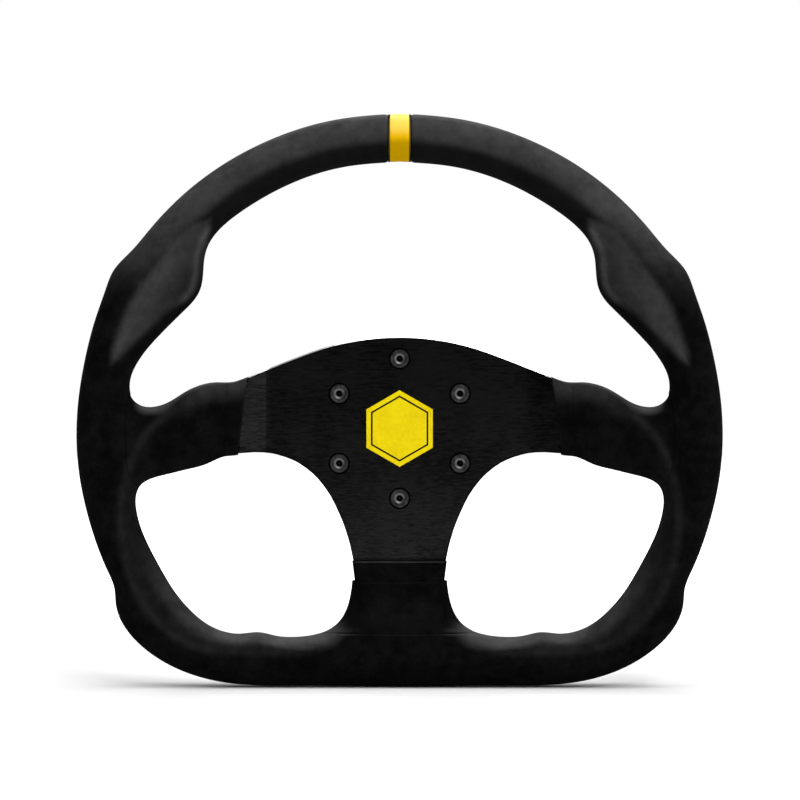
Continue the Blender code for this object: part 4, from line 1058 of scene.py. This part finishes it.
class WHEEL_OT_stage(bpy.types.Operator):
    """Set the camera, the light and the pale floor"""

    bl_idname = "wheel.stage"
    bl_label = "Stage"

    def execute(self, context):
        settings = context.scene.wheel_stage
        scene = context.scene
        data = bpy.data.cameras.new("camera")
        camera = put_in("camera", data)
        data.sensor_width = 36
        data.lens = data.sensor_width * settings.camera_distance / settings.frame_width
        camera.location = (VIEW_ACROSS * MM, -RIM_PLANE * MM - settings.camera_distance, VIEW_UP * MM)
        camera.rotation_euler = (math.radians(90), 0, 0)
        data.clip_end = 20
        scene.camera = camera
        scene.view_settings.view_transform = "Standard"
        self.light("top softbox", 1.2, 18, (0.2, -0.1, 1.5), (0, 0, 0))
        self.light("front softbox", 1.0, 21, (0.6, -1.8, 1.6), (0, 0, 0.02))
        self.light("rear softbox", 1.0, 11, (-0.7, 1.8, 1.1), (0, 0, 0))
        self.light("right strip", 0.5, 1.7, (0.95, -1.6, 0.1), (0, 0, 0))
        self.world()
        if settings.show_floor:
            self.floor()
        return {"FINISHED"}

    def light(self, name, size, power, place, target):
        data = bpy.data.lights.new(name, "AREA")
        data.shape = "SQUARE"
        data.size = size
        data.energy = power
        lamp = put_in(name, data)
        lamp.location = place
        aim = np.array(target) - np.array(place)
        lamp.rotation_euler = Vector(aim).to_track_quat("-Z", "Y").to_euler()

    def world(self):
        """Soft light from all round: weak from below, stronger from above, and dim at the left of the front."""
        scene = bpy.context.scene
        scene.world = bpy.data.worlds.new("soft room")
        sheet = Sheet(scene.world)
        right, ahead, up = sheet.parts(sheet.place("Generated"))
        strength = 0.1 + up.step(-0.25, 0.6) * 0.48
        strength = strength * (1 - (0 - ahead).step(0.2, 0.8) * (0 - right).step(0.0, 0.35) * 0.97)
        seen = sheet.seen()
        strength = strength * (1 - seen) + seen
        shader = sheet.add("ShaderNodeBackground", None, {"Strength": strength})
        shader.inputs["Color"].default_value = (1, 1, 1, 1)
        sheet.add("ShaderNodeOutputWorld", None, {"Surface": shader.outputs[0]})

    def floor(self):
        """A pale flat sheet under the wheel that brightens away from it, until it looks like the room."""
        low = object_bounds()[0].z
        half = 6.0
        corners = [(-half, -half, low), (half, -half, low), (half, half, low), (-half, half, low)]
        mesh = bpy.data.meshes.new("floor")
        mesh.from_pydata(corners, [], [(0, 1, 2, 3)])
        piece = put_in("floor", mesh)
        sheet = Sheet(bpy.data.materials.new("pale paper"))
        fine = sheet.noise(sheet.place(), 400, 2, 0.5)
        _, behind, _ = sheet.parts(sheet.place())
        away = Value(sheet, sheet.add("ShaderNodeVectorMath", {"operation": "LENGTH"}, {0: sheet.place()}).outputs[1])
        glow = behind.step(0.15, 0.9).most(away.step(1.0, 2.2) * sheet.seen())
        paper = sheet.finish(
            base_color=sheet.blend(fine, grey(0.86), grey(0.88)),
            roughness=0.9,
            specular_ior_level=0.0,
            emission_color=sheet.blend(glow, grey(0.0), grey(1.0)),
            emission_strength=1.0,
        )
        mesh.materials.append(paper)
        piece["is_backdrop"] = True


class WHEEL_PT_panel(bpy.types.Panel):
    """The wheel's pieces and settings in the sidebar"""

    bl_idname = "WHEEL_PT_panel"
    bl_label = "Racing steering wheel"
    bl_space_type = "VIEW_3D"
    bl_region_type = "UI"
    bl_category = "Wheel"

    def draw(self, context):
        for operator in OPERATORS:
            self.layout.operator(operator.bl_idname)
        for group in (context.scene.wheel_grip, context.scene.wheel_metal, context.scene.wheel_stage):
            for name in group.__annotations__:
                self.layout.prop(group, name)


OPERATORS = (
    WHEEL_OT_rim,
    WHEEL_OT_covers,
    WHEEL_OT_marker,
    WHEEL_OT_plate,
    WHEEL_OT_badge,
    WHEEL_OT_hub,
    WHEEL_OT_stage,
)
GROUPS = {
    "wheel_grip": WheelGripSettings,
    "wheel_metal": WheelMetalSettings,
    "wheel_stage": WheelStageSettings,
}


CLASSES = (*GROUPS.values(), *OPERATORS, WHEEL_PT_panel)


def register():
    for kind in CLASSES:
        bpy.utils.register_class(kind)
    for name, group in GROUPS.items():
        setattr(bpy.types.Scene, name, PointerProperty(type=group))


def unregister():
    for name in GROUPS:
        delattr(bpy.types.Scene, name)
    for kind in reversed(CLASSES):
        bpy.utils.unregister_class(kind)


def main():
    register()
    for operator in OPERATORS:
        group, name = operator.bl_idname.split(".")
        getattr(getattr(bpy.ops, group), name)()


if __name__ == "__main__":
    main()
